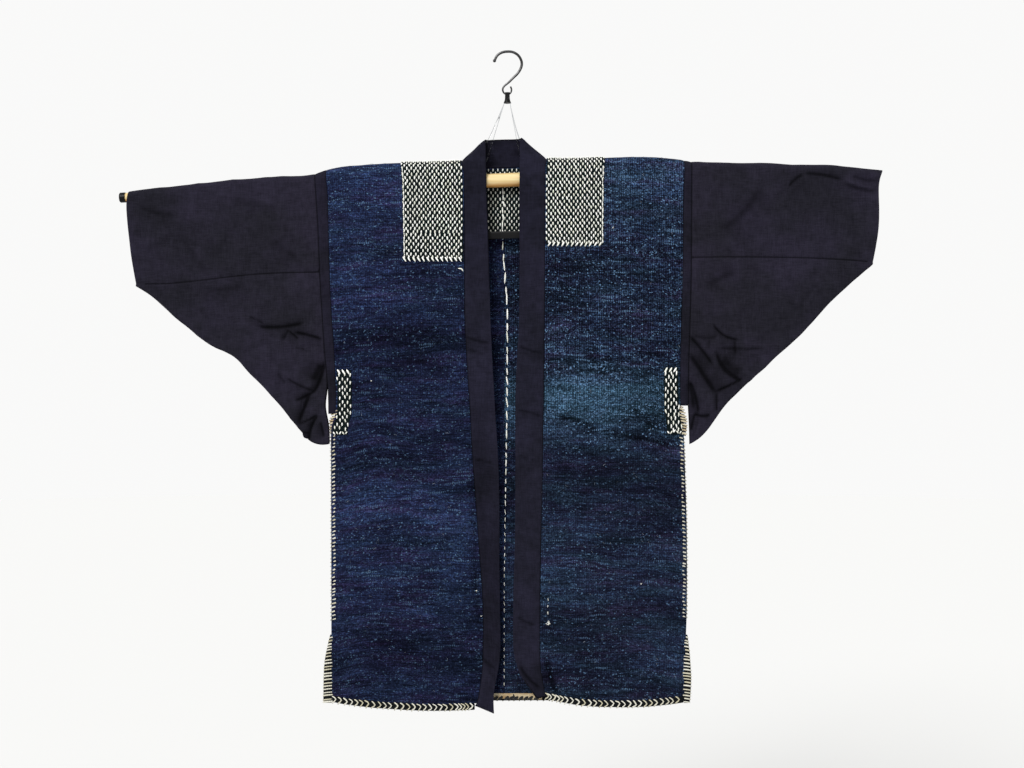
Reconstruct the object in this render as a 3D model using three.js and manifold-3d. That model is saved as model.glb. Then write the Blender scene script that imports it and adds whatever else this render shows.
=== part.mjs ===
// A country work jacket of indigo rag-woven cloth, hung flat on a telescopic kimono hanger under a wire hook.
// Millimetres, +Z up. The origin is the inside top of the hook's arc, where a pin in the wall carries it.
// +Y goes into the wall, so the front of the jacket lies at -Y. Right and left are the wearer's: right is -X.
import * as THREE from 'three';
import { mergeVertices } from 'three/addons/utils/BufferGeometryUtils.js';
import Module from 'manifold-3d';

const { lerp, clamp, smoothstep } = THREE.MathUtils;
const wasm = await Module();
wasm.setup();

// Driving sizes
const SEAM_GAP = 0.3;          // between two pieces that are sewn together
const SLEEVE_SEAM_GAP = 0.5;   // the same along a sleeve, whose two pieces slant a little to each other
const LAID_GAP = 0.45;         // under a piece that lies on another
const BODY_CLOTH = 3.0;        // rag-woven cloth, as thick as a thin rug
const SLEEVE_CLOTH = 1.2;      // plain cotton
const COLLAR_CLOTH = 3.0;      // cotton folded over several layers
const STRIP_CLOTH = 2.0;       // the plain strips round the armholes, folded double
const PATCH_CLOTH = 1.4;
const LINING_CLOTH = 1.2;
const BINDING_CLOTH = 4.0;     // the stitched edge along the hem
const VENT_CLOTH = 2.4;
const TAPE_CLOTH = 1.0;
const BINDING_HEIGHT = 12;
const SHOULDER_DEPTH = 17;     // from the hanger's plane to the middle of the cloth, at the shoulder
const SHOULDER_RISE = 17;      // height of the rounded fold over the shoulder
const SLEEVE_DEPTH = 11;
const SLEEVE_RISE = 11;
const UNDERARM_DEPTH = 3;
const NECK_TOP_DEPTH = 4;      // at the upper edge of the collar, behind the neck
const NECK_FAN = 120;          // height below the neck over which the collar's rows turn to its folded corner
const NECK_FAN_POWER = 4.8;    // how soon below the neck that turning fades
const NECK_DEPTH_REACH = [150, 203];   // below the origin, over which the collar comes down to the body's depth
const FOLD_STEPS = 8;          // round a shoulder or the top of a sleeve
const UNDERARM_STEPS = 4;
const FOLD_RISE_REACH = [290, 400];    // from the middle, over which the shoulder's fold turns to the sleeve's
const SHOULDER_LEVEL = -186;   // height at which the side edges are read for the shoulder's fold
const PANEL_FOOT = -1091;      // the same for the panels' lowest row
const TAIL_FOOT = -668;        // the lowest point of the sleeves
const LEAST_GAP = 0.4;         // half the space that always stays between front and back cloth
const ARMHOLE_BLEND = 90;      // over which a sleeve comes from the body's depth to its own
const SEAM_END_BLEND = 40;     // above and below the sleeve seam's end, over which that stops
const VENT_TOP = -994;
const VENT_ROWS = 5;
const TAPE = { reach: 80, top: 1, foot: -9 };   // to each side, and from the binding's upper edge
const HEM_END_GAP = 0.7;       // between the hem's binding and the collar's end

// Creases fade towards a panel's side edge, its shoulder and its hem, and towards a sleeve's own edges.
const BODY_ROOM = { edge: [10, 90], shoulder: [240, 330], hem: [-1105, -1040] };
const SLEEVE_ROOM = { armhole: 25, underarm: [6, 30] };

// The top of the whole jacket. Columns: x, z.
const TOP_LINE = [
  [-646, -237], [-620, -232.5], [-579, -229], [-518, -221], [-457, -215], [-396, -211.5], [-355, -210],
  [-328, -206.5], [-309, -200.5], [-294, -197], [-268, -192], [-238, -190.5], [-175, -186], [-77, -187.5],
  [67, -180], [116, -180.5], [160, -179], [226, -176.5], [247, -177], [267, -179], [294, -181.5],
  [311, -185.5], [379, -187], [441, -189], [481, -190.5], [543, -190.5], [583, -193], [624, -198],
  [640, -200],
];

// How deep the jacket is at the side edge of its body. Columns: z, depth.
const EDGE_DEPTH = [
  [-200, 14], [-375, 10.5], [-508, 7.5], [-572, 5], [-620, 2.6], [-660, 1.9], [-720, 1.7],
  [-990, 1.7], [-1040, 4], [-1110, 6.5],
];

// How deep it is in the middle of each half. Columns: z, depth.
const MIDDLE_DEPTH = [[-200, SHOULDER_DEPTH], [-330, 16], [-620, 13], [-900, 11.5], [-1120, 12.5]];

const EDGE_SLOPE_WIDTH = 75;   // over which the depth grows from a side edge to the middle

// What differs from one side to the other.
const SIDES = {
  right: {
    sign: -1,
    // Columns: z, the side edge, the seam to the collar, the collar's free edge, how far that edge rolls inward
    front: [
      [-186, -307, -73.5, -36, 0], [-253, -304, -73, -34, 0], [-355, -302, -72, -30.5, 0],
      [-452, -298, -72, -28.5, 0], [-508, -294, -69, -26, 0], [-581, -291, -65, -22, 1],
      [-620, -290.5, -62, -20, 2], [-634, -300, -61.5, -19, 2], [-727, -300, -56, -13.5, 4],
      [-836, -299.5, -47.5, -13.5, 8], [-948, -299.5, -40, -13, 9], [-1028, -299, -41, -11, 9],
      [-1070, -298, -46, -20, 5], [-1096, -298, -51, -24, 1], [-1125, -298, -54, -22, -1],
    ],
    neck: {
      front: { seam: [-73.5, -204], free: [-36, -155] },
      fold: { seam: [-76, -187.5], free: [-36.5, -149.5] },
      back: { seam: [-66, -196], free: [-33, -149] },
    },
    collarEnd: { seam: [-54, -1112], free: [-22, -1125] },
    armholeBase: -219, sleeveSeamAtArmhole: -375, sleeveSeamEnd: -572, armholeEnd: -620,
    sleeveEdge: [
      [-200, -327.5], [-304, -321], [-375, -318.5], [-440, -315], [-508, -311], [-550, -307], [-572, -304.5],
      [-581, -309], [-593, -317], [-600, -314], [-616, -307], [-640, -302.5], [-669, -303],
    ],
    cuffEdge: [[-236, -644], [-265, -647.5], [-305, -644.5], [-346, -640.5], [-385, -635], [-394, -632]],
    sleeveSeam: [[-632, -394], [-600, -395], [-525, -389], [-447, -380], [-379, -376], [-318, -375]],
    underarm: [
      [-632, -398.5], [-618, -406], [-572, -448], [-527, -485], [-512, -501], [-496, -508], [-471, -510],
      [-437, -551], [-384, -605], [-354, -643], [-334, -671], [-303, -668],
    ],
    frontHem: [
      [-313, -1103], [-289, -1110], [-239, -1116], [-182, -1120], [-122, -1122], [-88, -1121], [-54, -1120],
    ],
    ventEdge: [[-990, -300.5], [-1010, -305], [-1045, -311.5], [-1110, -312.5]],
    patchWidthShare: 0.448,      // of the front panel, measured from the collar
    patchFoot: -355,
    sidePatch: { top: -542, foot: -652 },
    backCentre: -4.5,
    sleeveCreases: [
      [-426, -461, -341, -464, 16, 3.2, 2.2], [-368, -478, -318, -494, 14, -2.4, 1.6],
      [-376, -566, -330, -580, 14, 3.0, -2.0], [-352, -532, -336, -572, 12, -2.4, 2.2],
      [-322, -628, -318, -664, 10, 2.0, 1.4], [-520, -430, -440, -500, 30, 1.6, 1.2],
      [-600, -262, -470, -250, 30, -1.4, -1.0],
    ],
    bodyCreases: [
      [-290, -470, -150, -500, 45, 2.0, -1.6], [-260, -700, -100, -760, 60, -1.6, 1.8],
      [-250, -900, -90, -880, 55, 1.8, -1.4],
    ],
  },
  left: {
    sign: 1,
    front: [
      [-180, 302, 65.5, 22.5, 0], [-253, 300, 65, 21.5, 0], [-355, 299, 65, 22, 0],
      [-477, 296.5, 64, 21, 0], [-508, 295, 63.5, 18.5, 0], [-555, 295, 63, 15.5, 1],
      [-606, 295, 62.5, 15, 2], [-620, 300.5, 62, 15, 2], [-727, 304.5, 61, 15, 1],
      [-836, 307.5, 58, 14, 0], [-948, 307, 56.5, 11, 0], [-1028, 304, 56, 11, -1],
      [-1050, 302, 57, 18.5, -4], [-1075, 302, 60, 33, -7], [-1097, 302, 66, 50, -8],
    ],
    neck: {
      front: { seam: [65.5, -198], free: [22.5, -152] },
      fold: { seam: [67, -182], free: [25, -146] },
      back: { seam: [60, -192], free: [22.5, -146.5] },
    },
    collarEnd: { seam: [68, -1095.5], free: [53, -1099] },
    armholeBase: -202, sleeveSeamAtArmhole: -350, sleeveSeamEnd: -560, armholeEnd: -606,
    sleeveEdge: [
      [-180, 314.5], [-350, 314], [-423, 313], [-491, 311], [-559, 309.5], [-584, 309], [-620, 311],
      [-668, 312],
    ],
    cuffEdge: [
      [-202, 640], [-212, 635.5], [-235, 631], [-244, 634.5], [-295, 633.5], [-338, 629.5], [-357, 624],
    ],
    sleeveSeam: [[314, -350], [402, -349], [487, -350], [551, -352], [624, -357]],
    underarm: [
      [624, -362], [612, -369.5], [590, -392], [568, -411], [546, -431.5], [510, -473], [466, -513],
      [424, -554], [376, -593], [361, -612], [351, -633], [339, -652], [325, -666], [312, -669],
    ],
    frontHem: [
      [66, -1101], [90, -1107], [128, -1114], [191, -1116], [226, -1116], [257, -1114], [300, -1109],
      [311, -1107],
    ],
    ventEdge: [[-990, 307.5], [-1027, 311.5], [-1070, 314], [-1110, 311]],
    patchWidthShare: 0.42,
    patchFoot: -329,
    sidePatch: { top: -538, foot: -650 },
    backCentre: -4.5,
    sleeveCreases: [
      [311, -492, 357, -560, 18, 3.4, -2.2], [357, -463, 402, -487, 18, 2.2, 1.8],
      [330, -560, 372, -588, 13, -2.4, 2.2], [330, -610, 334, -655, 11, 2.2, 1.4],
      [452, -216, 483, -226, 24, 2.0, 1.0], [560, -225, 622, -232, 16, 1.8, 1.0],
      [440, -420, 540, -370, 30, -1.4, 1.6],
    ],
    bodyCreases: [
      [90, -627, 290, -668, 50, 2.2, -1.6], [110, -420, 270, -450, 60, -1.6, 1.6],
      [100, -880, 280, -860, 60, 1.8, -1.4],
    ],
  },
};

const BACK_HEM = [[-313, -1103], [-150, -1110], [0, -1109], [150, -1109], [311, -1105]];

// Shares of the way from a side edge to the collar, one for each line of the panel's mesh
const PANEL_LINES = [0, 0.05, 0.12, 0.26, 0.41, 0.552, 0.7, 0.85, 1];
const NECK_LINES = 3;              // more of them behind the neck, from the collar's seam to the centre
const COLLAR_LINES = 4;
const SLEEVE_LINES = 12;
const UPPER_SLEEVE_SHARES = [0, 0.12, 0.4, 0.7, 1];
const LOWER_SLEEVE_ROWS = 5;
const TAIL_ROWS = 3;               // of the lower sleeve, under the end of its seam to the body
const STRIP_END_GAP = 4;           // where the strip ends over the widening of the body's side
const LOWER_BODY_ROWS = [-634, -664, -727, -790, -850, -910, -960, -996, -1035, -1065];
const SIDE_PATCH_LINES = [0.3, 2];
const YOKE_PATCH_INSET = 0.06;     // from the collar's seam
const LINING_INSET = 0.1;          // from the collar's seam and from the last lines beside it
const LINING_ROWS = 4;

// The hanger
const TUBE = { from: [-173, -224], to: [175, -210], radius: 12 };
const ARM_RADIUS = 8.2;
const ARM_SEAT = 38;               // length of an arm inside the tube
const SOCKET_OVERRUN = 5;          // of the socket's bore past the tube's end
const FIT_GAP = 0.3;
const CAP = { radius: 8.75, length: 10, wall: 1.8, round: 1.5 };
const ARM_STEP = 0.6;              // how much thinner an arm is inside its cap
const ARM_STEP_LENGTH = 0.5;
const RIGHT_CUFF = -645;           // where the right arm leaves its sleeve
const RIGHT_ARM_END = -661;
const LEFT_ARM_END = 604;
const TIE_BAR = { x: 150, z: -311, slope: 0.026, height: 12.5, depth: 8, ringWidth: 9, ringWall: 2 };
const DROP_ARM = { width: 8, depth: 7 };
const LINE_RADIUS = 0.6;
const LINES = {
  right: { start: [-4.6, -86.3], neck: [-31.5, -150], rings: [-62.6, -41] },
  left: { start: [5.4, -86.3], neck: [19.5, -148], rings: [45.9, 27] },
};
const LINE_RING = { width: 2.4, wall: 0.9 };
const CLIP = { x: 0.9, top: -67.4, neckFoot: -80, foot: -86, headWidth: 8, headDepth: 7, skirt: [4.2, 6.8] };

// The hook's wire, from its open tip over the pin and down to the small eye. Columns: x, z, radius.
const HOOK = [
  [-21.1, -13.4, 2.2], [-16.3, -4.2, 2.3], [-8.2, 0.9, 2.3], [0, 2.3, 2.3], [9.7, 1.6, 2.3],
  [19, -3.6, 2.3], [25, -13.8, 2.3], [25.2, -22.3, 2.3], [19.6, -33.8, 2.2], [10.4, -43, 2.1],
  [2.9, -50.7, 1.9], [-4.9, -57.1, 1.7], [-7.4, -63.1, 1.6], [-4.6, -68.9, 1.5], [0.9, -71.2, 1.5],
  [6.2, -68.9, 1.5], [8.2, -62.4, 1.5], [6.2, -57.4, 1.5],
];
const HOOK_TIP_RADIUS = 3;

function finish(color, roughness, metalness = 0) {
  return new THREE.MeshStandardMaterial({ color, roughness, metalness });
}

const RAG_WEAVE = finish(0x1d2b4a, 0.95);
const PLAIN_COTTON = finish(0x1f1d2a, 0.85);
const STITCHED = finish(0x8a8878, 0.95);
const CREAM_EDGE = finish(0xb9b29a, 0.9);
const TAN_TAPE = finish(0xc7a877, 0.9);
const PALE_WOOD = finish(0xe2b572, 0.5);
const BLACK_PLASTIC = finish(0x121214, 0.4);
const BLACK_WIRE = finish(0x0c0c0e, 0.3, 0.6);
const CLEAR_LINE = finish(0xd8dcdc, 0.2);

// Reads one column of a short table along a curve that never overshoots its rows. Rows run either way.
function readTable(rows, place, column = 1) {
  const rising = rows[0][0] < rows[rows.length - 1][0];
  const list = rising ? rows : [...rows].reverse();
  const last = list.length - 1;
  if (place <= list[0][0]) return list[0][column];
  if (place >= list[last][0]) return list[last][column];
  let i = 0;
  while (place > list[i + 1][0]) i += 1;
  const width = (k) => list[k + 1][0] - list[k][0];
  const slope = (k) => (list[k + 1][column] - list[k][column]) / width(k);
  const tangent = (k) => {
    if (k === 0) return slope(0);
    if (k === last) return slope(last - 1);
    const before = slope(k - 1);
    const after = slope(k);
    return before * after <= 0 ? 0 : (2 * before * after) / (before + after);
  };
  const h = width(i);
  const t = (place - list[i][0]) / h;
  const own = list[i][column] * (2 * t ** 3 - 3 * t ** 2 + 1) + list[i + 1][column] * (3 * t ** 2 - 2 * t ** 3);
  return own + h * (tangent(i) * (t ** 3 - 2 * t ** 2 + t) + tangent(i + 1) * (t ** 3 - t ** 2));
}

// Whole numbers from 0 to count
const steps = (count) => Array.from({ length: count + 1 }, (_, k) => k);

// Places spaced evenly from one value to another, both ends included
const spaced = (from, to, count) => steps(count).map((k) => lerp(from, to, k / count));

// A crease moves the cloth in or out. Columns: x and z of its start and end, width, front depth, back depth.
function creaseShift(creases, x, z, face) {
  let shift = 0;
  for (const [x1, z1, x2, z2, width, front, back] of creases) {
    const length = Math.hypot(x2 - x1, z2 - z1);
    const along = ((x - x1) * (x2 - x1) + (z - z1) * (z2 - z1)) / length;
    const across = ((x - x1) * (z2 - z1) - (z - z1) * (x2 - x1)) / length;
    const past = Math.max(0, -along, along - length);
    shift += (face < 0 ? front : back) * Math.exp(-((across / width) ** 2) - (past / width) ** 2);
  }
  return shift;
}

const topLine = (x) => readTable(TOP_LINE, x);
const edgeDepth = (z) => readTable(EDGE_DEPTH, z);

// Height of the rounded fold over a shoulder or sleeve, which is lower out on the sleeve
const foldRise = (x) => lerp(SHOULDER_RISE, SLEEVE_RISE, smoothstep(Math.abs(x), ...FOLD_RISE_REACH));

// Where the flat cloth begins under that fold
const foldFoot = (x, cloth) => topLine(x) - cloth / 2 - foldRise(x);

function bodyDepth(side, x, z) {
  const fromEdge = Math.abs(x - readTable(side.front, z, 1));
  const edge = edgeDepth(z);
  return lerp(edge, readTable(MIDDLE_DEPTH, z), smoothstep(fromEdge, 0, EDGE_SLOPE_WIDTH));
}

// The middle of the body's cloth at a place on the front, where face is -1, or on the back, where face is 1
function bodyPoint(side, x, z, face) {
  const depth = bodyDepth(side, x, z);
  const fromEdge = Math.abs(x - readTable(side.front, z, 1));
  const room = smoothstep(fromEdge, ...BODY_ROOM.edge) * smoothstep(-z, ...BODY_ROOM.shoulder)
    * smoothstep(z, ...BODY_ROOM.hem);
  return new THREE.Vector3(x, face * depth + room * creaseShift(side.bodyCreases, x, z, face), z);
}

// A point of the neck's seam or of the collar's free edge as it turns over the shoulder, from front to back
function neckPoint(side, share, turn) {
  const mix = (place, k) => lerp(place.seam[k], place.free[k], share);
  const angle = Math.PI * turn;
  const depth = lerp(SHOULDER_DEPTH, NECK_TOP_DEPTH, share);
  const place = (k) => {
    const from = mix(side.neck.front, k);
    const to = mix(side.neck.back, k);
    const fold = mix(side.neck.fold, k);
    return lerp(from, to, turn) + (fold - (from + to) / 2) * Math.sin(angle);
  };
  return new THREE.Vector3(place(0), -depth * Math.cos(angle), place(1));
}

// Heights of the body's rows at its side edge, from the shoulder's fold down. The sleeve's rows are among them.
function armholeRows(side) {
  const upper = UPPER_SLEEVE_SHARES.map((share) => lerp(side.armholeBase, side.sleeveSeamAtArmhole, share));
  const lower = spaced(side.sleeveSeamAtArmhole, side.sleeveSeamEnd, LOWER_SLEEVE_ROWS);
  return [...upper, ...lower.slice(1), side.armholeEnd];
}

const bodyRows = (side) => [...armholeRows(side), ...LOWER_BODY_ROWS.filter((z) => z < side.armholeEnd)];

const hemLine = (side, x, face) => readTable(face < 0 ? side.frontHem : BACK_HEM, x);

// The height of one row of the body at x: rows follow the shoulder at the top and the hem at the bottom
function rowHeight(side, row, x, face) {
  const rows = bodyRows(side);
  const edge = readTable(side.front, rows[0], 1);
  const share = (rows[row] - rows[0]) / (hemLine(side, edge, face) + BINDING_HEIGHT - rows[0]);
  return lerp(foldFoot(x, BODY_CLOTH), hemLine(side, x, face) + BINDING_HEIGHT, row < rows.length ? share : 1);
}

// The mesh lines of one half of the body: up the front, over the shoulder and down the back, where more lines
// run on from the collar's seam to the centre.
function bodyGrid(side) {
  const rowCount = bodyRows(side).length;
  const flat = (row, face) => {
    const edgeHeight = row < rowCount ? bodyRows(side)[row] : PANEL_FOOT;
    const neckSide = face < 0 ? readTable(side.front, edgeHeight, 2) : side.neck.back.seam[0];
    const edge = readTable(side.front, edgeHeight, 1);
    const line = PANEL_LINES.map((share) => {
      const x = lerp(edge, neckSide, share);
      return bodyPoint(side, x, rowHeight(side, row, x, face), face);
    });
    if (face < 0) return [...line, ...Array(NECK_LINES).fill(null)];
    const inner = spaced(side.neck.back.seam[0], side.backCentre, NECK_LINES).slice(1);
    return [...line, ...inner.map((x) => bodyPoint(side, x, rowHeight(side, row, x, face), face))];
  };
  const over = (turn) => {
    const angle = Math.PI * turn;
    const edge = readTable(side.front, SHOULDER_LEVEL, 1);
    const neck = neckPoint(side, 0, turn);
    const line = PANEL_LINES.map((share) => {
      if (share === 1) return neck;
      const x = lerp(edge, neck.x, share);
      const foot = foldFoot(x, BODY_CLOTH);
      const depth = bodyDepth(side, x, foot);
      const own = new THREE.Vector3(x, -depth * Math.cos(angle), foot + foldRise(x) * Math.sin(angle));
      own.z = lerp(own.z, neck.z, smoothstep(share, 0.5, 1));
      return own;
    });
    const inner = spaced(side.neck.back.seam[0], side.backCentre, NECK_LINES).slice(1);
    const behind = inner.map((x) => new THREE.Vector3(x, SHOULDER_DEPTH, backNeckHeight(x)));
    return [...line, ...(turn === 1 ? behind : Array(NECK_LINES).fill(null))];
  };
  const front = steps(rowCount).reverse().filter((row) => row > 0).map((row) => flat(row, -1));
  const back = steps(rowCount).filter((row) => row > 0).map((row) => flat(row, 1));
  return [...front, ...steps(FOLD_STEPS).map((k) => over(k / FOLD_STEPS)), ...back];
}

// Height of the collar's seam or of its free edge behind the neck
function backNeckHeight(x, edge = 'seam') {
  const [rightX, leftX] = [SIDES.right.neck.back.seam[0], SIDES.left.neck.back.seam[0]];
  const [rightZ, leftZ] = [SIDES.right.neck.back[edge][1], SIDES.left.neck.back[edge][1]];
  return lerp(rightZ, leftZ, clamp((x - rightX) / (leftX - rightX), 0, 1));
}

// Half of the collar: from its end at the front hem, up the front, over the shoulder to the centre of the neck.
// Each row runs from the seam to the free edge.
function collarHalf(side) {
  const shares = spaced(0, 1, COLLAR_LINES);
  const rowCount = bodyRows(side).length;
  const seamTop = side.neck.front.seam[1];
  const lift = side.neck.front.free[1] - seamTop;
  const frontRow = (row) => {
    const seam = row < rowCount ? bodyRows(side)[row] : PANEL_FOOT;
    const seamX = readTable(side.front, seam, 2);
    const z = rowHeight(side, row, seamX, -1);
    const rise = lift * Math.max(0, 1 - (seamTop - z) / NECK_FAN) ** NECK_FAN_POWER;
    return shares.map((share) => {
      const height = z + rise * share;
      const x = lerp(seamX, readTable(side.front, height, 3), share);
      const roll = readTable(side.front, height, 4) * share ** 2;
      const nearNeck = smoothstep(-height, ...NECK_DEPTH_REACH);
      const depth = lerp(lerp(SHOULDER_DEPTH, NECK_TOP_DEPTH, share), bodyDepth(side, seamX, z), nearNeck);
      return new THREE.Vector3(x, -depth + roll, height);
    });
  };
  const end = shares.map((share) => {
    const x = lerp(side.collarEnd.seam[0], side.collarEnd.free[0], share);
    const z = lerp(side.collarEnd.seam[1], side.collarEnd.free[1], share);
    const roll = side.front.at(-1)[4] * share ** 2;
    return new THREE.Vector3(x, -bodyDepth(side, x, z) + roll, z);
  });
  const rows = [end, ...steps(rowCount).reverse().filter((row) => row > 0).map(frontRow)];
  for (const k of steps(FOLD_STEPS)) rows.push(shares.map((share) => neckPoint(side, share, k / FOLD_STEPS)));
  const centre = side.backCentre;
  for (const k of steps(NECK_LINES).slice(1)) {
    rows.push(shares.map((share) => {
      const from = neckPoint(side, share, 1);
      const x = lerp(from.x, centre, k / NECK_LINES);
      return new THREE.Vector3(x, from.y, lerp(backNeckHeight(x), backNeckHeight(x, 'free'), share));
    }));
  }
  return rows;
}

function sleeveDepth(side, x, z) {
  const top = foldFoot(x, SLEEVE_CLOTH);
  const bottom = readTable(side.underarm, x) + UNDERARM_DEPTH;
  const down = clamp((top - z) / (top - bottom), 0, 1);
  const own = lerp(SLEEVE_DEPTH, UNDERARM_DEPTH, down);
  const fromArmhole = Math.abs(x - readTable(side.sleeveEdge, z));
  const sewn = 1 - smoothstep(side.sleeveSeamEnd - z, -SEAM_END_BLEND, SEAM_END_BLEND);
  const near = sewn * (1 - smoothstep(fromArmhole, 0, ARMHOLE_BLEND));
  return lerp(own, Math.max(edgeDepth(z), UNDERARM_DEPTH), near);
}

function sleevePoint(side, x, z, face) {
  const depth = sleeveDepth(side, x, z);
  const fromArmhole = Math.abs(x - readTable(side.sleeveEdge, z));
  const room = smoothstep(fromArmhole, 0, SLEEVE_ROOM.armhole)
    * smoothstep(z - readTable(side.underarm, x), ...SLEEVE_ROOM.underarm);
  const shift = room * creaseShift(side.sleeveCreases, x, z, face);
  const least = SLEEVE_CLOTH / 2 + LEAST_GAP;
  return new THREE.Vector3(x, face * Math.max(least, depth + face * shift), z);
}

// The upper piece of a sleeve: up the front from its seam, over the arm and down the back
function upperSleeveGrid(side) {
  const place = (share, z) => lerp(readTable(side.cuffEdge, z), readTable(side.sleeveEdge, z), share);
  const shares = spaced(0, 1, SLEEVE_LINES);
  const flat = (down, face) => shares.map((share) => {
    const guess = place(share, side.sleeveSeamAtArmhole);
    const z = lerp(foldFoot(guess, SLEEVE_CLOTH), readTable(side.sleeveSeam, guess), down);
    return sleevePoint(side, place(share, z), z, face);
  });
  const over = (turn) => shares.map((share) => {
    const guess = place(share, side.armholeBase);
    const foot = foldFoot(guess, SLEEVE_CLOTH);
    const z = foot + foldRise(guess) * Math.sin(Math.PI * turn);
    const depth = sleeveDepth(side, guess, foot);
    return new THREE.Vector3(place(share, z), -depth * Math.cos(Math.PI * turn), z);
  });
  const rows = UPPER_SLEEVE_SHARES.slice(1);
  return [
    ...[...rows].reverse().map((down) => flat(down, -1)),
    ...steps(FOLD_STEPS).map((k) => over(k / FOLD_STEPS)),
    ...rows.map((down) => flat(down, 1)),
  ];
}

// The lower piece: down the front from the seam, round the slanting underarm fold and up the back
function lowerSleeveGrid(side) {
  const cuffX = side.sleeveSeam.find(([x]) => Math.abs(x) > 600)[0];
  const place = (share, z) => lerp(cuffX, readTable(side.sleeveEdge, z), share);
  const shares = spaced(0, 1, SLEEVE_LINES);
  const seam = side.sleeveSeamAtArmhole;
  const foldTop = TAIL_FOOT + UNDERARM_DEPTH + SLEEVE_CLOTH / 2;
  const levels = [...spaced(seam, side.sleeveSeamEnd, LOWER_SLEEVE_ROWS),
    ...spaced(side.sleeveSeamEnd, foldTop, TAIL_ROWS).slice(1)];
  const underRise = (x, low) => Math.min(UNDERARM_DEPTH, (readTable(side.sleeveSeam, x) - low) / 2);
  const bottom = (share) => {
    let x = place(share, seam);
    for (let k = 0; k < 4; k += 1) x = place(share, readTable(side.underarm, x));
    return [x, readTable(side.underarm, x) + SLEEVE_CLOTH / 2];
  };
  const flat = (level, face) => shares.map((share) => {
    const [, low] = bottom(share);
    const down = (seam - level) / (seam - foldTop);
    let x = place(share, seam);
    let z = seam;
    for (let k = 0; k < 3; k += 1) {
      z = lerp(readTable(side.sleeveSeam, x), low + underRise(x, low), down);
      x = place(share, z);
    }
    return sleevePoint(side, x, z, face);
  });
  const under = (turn) => shares.map((share) => {
    const [x, low] = bottom(share);
    const angle = Math.PI * turn;
    const rise = underRise(x, low);
    const depth = sleeveDepth(side, x, low + rise);
    return new THREE.Vector3(x, -depth * Math.cos(angle), low + rise - rise * Math.sin(angle));
  });
  return [
    ...levels.slice(0, -1).map((level) => flat(level, -1)),
    ...steps(UNDERARM_STEPS).map((k) => under(k / UNDERARM_STEPS)),
    ...levels.slice(0, -1).reverse().map((level) => flat(level, 1)),
  ];
}

// The plain strip between a sleeve and the body, from the front over the shoulder to the back
function armholeStripGrid(side) {
  const rows = armholeRows(side);
  rows[rows.length - 1] += STRIP_END_GAP;
  const outer = (z) => readTable(side.sleeveEdge, Math.max(z, side.sleeveSeamEnd));
  const flat = (z, face) => [outer(z), readTable(side.front, z, 1)].map((x) => (
    new THREE.Vector3(x, face * Math.max(edgeDepth(z), STRIP_CLOTH / 2 + LEAST_GAP), z)
  ));
  const over = (turn) => {
    const angle = Math.PI * turn;
    return [outer(rows[0]), readTable(side.front, SHOULDER_LEVEL, 1)].map((guess, k) => {
      const foot = foldFoot(guess, STRIP_CLOTH);
      const z = foot + foldRise(guess) * Math.sin(angle);
      const x = k === 0 ? outer(z) : guess;
      return new THREE.Vector3(x, -edgeDepth(foot) * Math.cos(angle), z);
    });
  };
  return [
    ...rows.slice(1).reverse().map((z) => flat(z, -1)),
    ...steps(FOLD_STEPS).map((k) => over(k / FOLD_STEPS)),
    ...rows.slice(1).map((z) => flat(z, 1)),
  ];
}

// Moves one edge of a grid back into its own cloth, to leave half a seam's gap. An edge is named by the place of
// its points in each row, or is one whole row.
function drawBack(edge, next, distance = SEAM_GAP / 2) {
  edge.forEach((point, k) => {
    if (!point || !next[k]) return;
    point.add(next[k].clone().sub(point).setLength(distance));
  });
}

const column = (grid, index) => grid.map((row) => row.at(index));
const drawBackColumns = (grid) => {
  const first = column(grid, 0).map((point) => point.clone());
  drawBack(column(grid, 0), column(grid, 1));
  drawBack(column(grid, -1), grid[0].length > 2 ? column(grid, -2) : first);
};
const drawBackRows = (grid) => {
  drawBack(grid[0], grid[1], SLEEVE_SEAM_GAP / 2);
  drawBack(grid.at(-1), grid.at(-2), SLEEVE_SEAM_GAP / 2);
};

// Directions square to a grid's cloth at its points, each the mean of its four-sided cells
function gridNormals(grid) {
  const normals = grid.map((row) => row.map((point) => point && new THREE.Vector3()));
  for (let r = 0; r + 1 < grid.length; r += 1) {
    for (let c = 0; c + 1 < grid[r].length; c += 1) {
      const cell = [[r, c], [r, c + 1], [r + 1, c + 1], [r + 1, c]];
      const corners = cell.map(([i, j]) => grid[i][j]);
      if (corners.some((corner) => !corner)) continue;
      const one = corners[2].clone().sub(corners[0]);
      const other = corners[3].clone().sub(corners[1]);
      const normal = one.cross(other).normalize();
      cell.forEach(([i, j]) => normals[i][j].add(normal));
    }
  }
  normals.flat().forEach((normal) => normal && normal.normalize());
  return normals;
}

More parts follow.
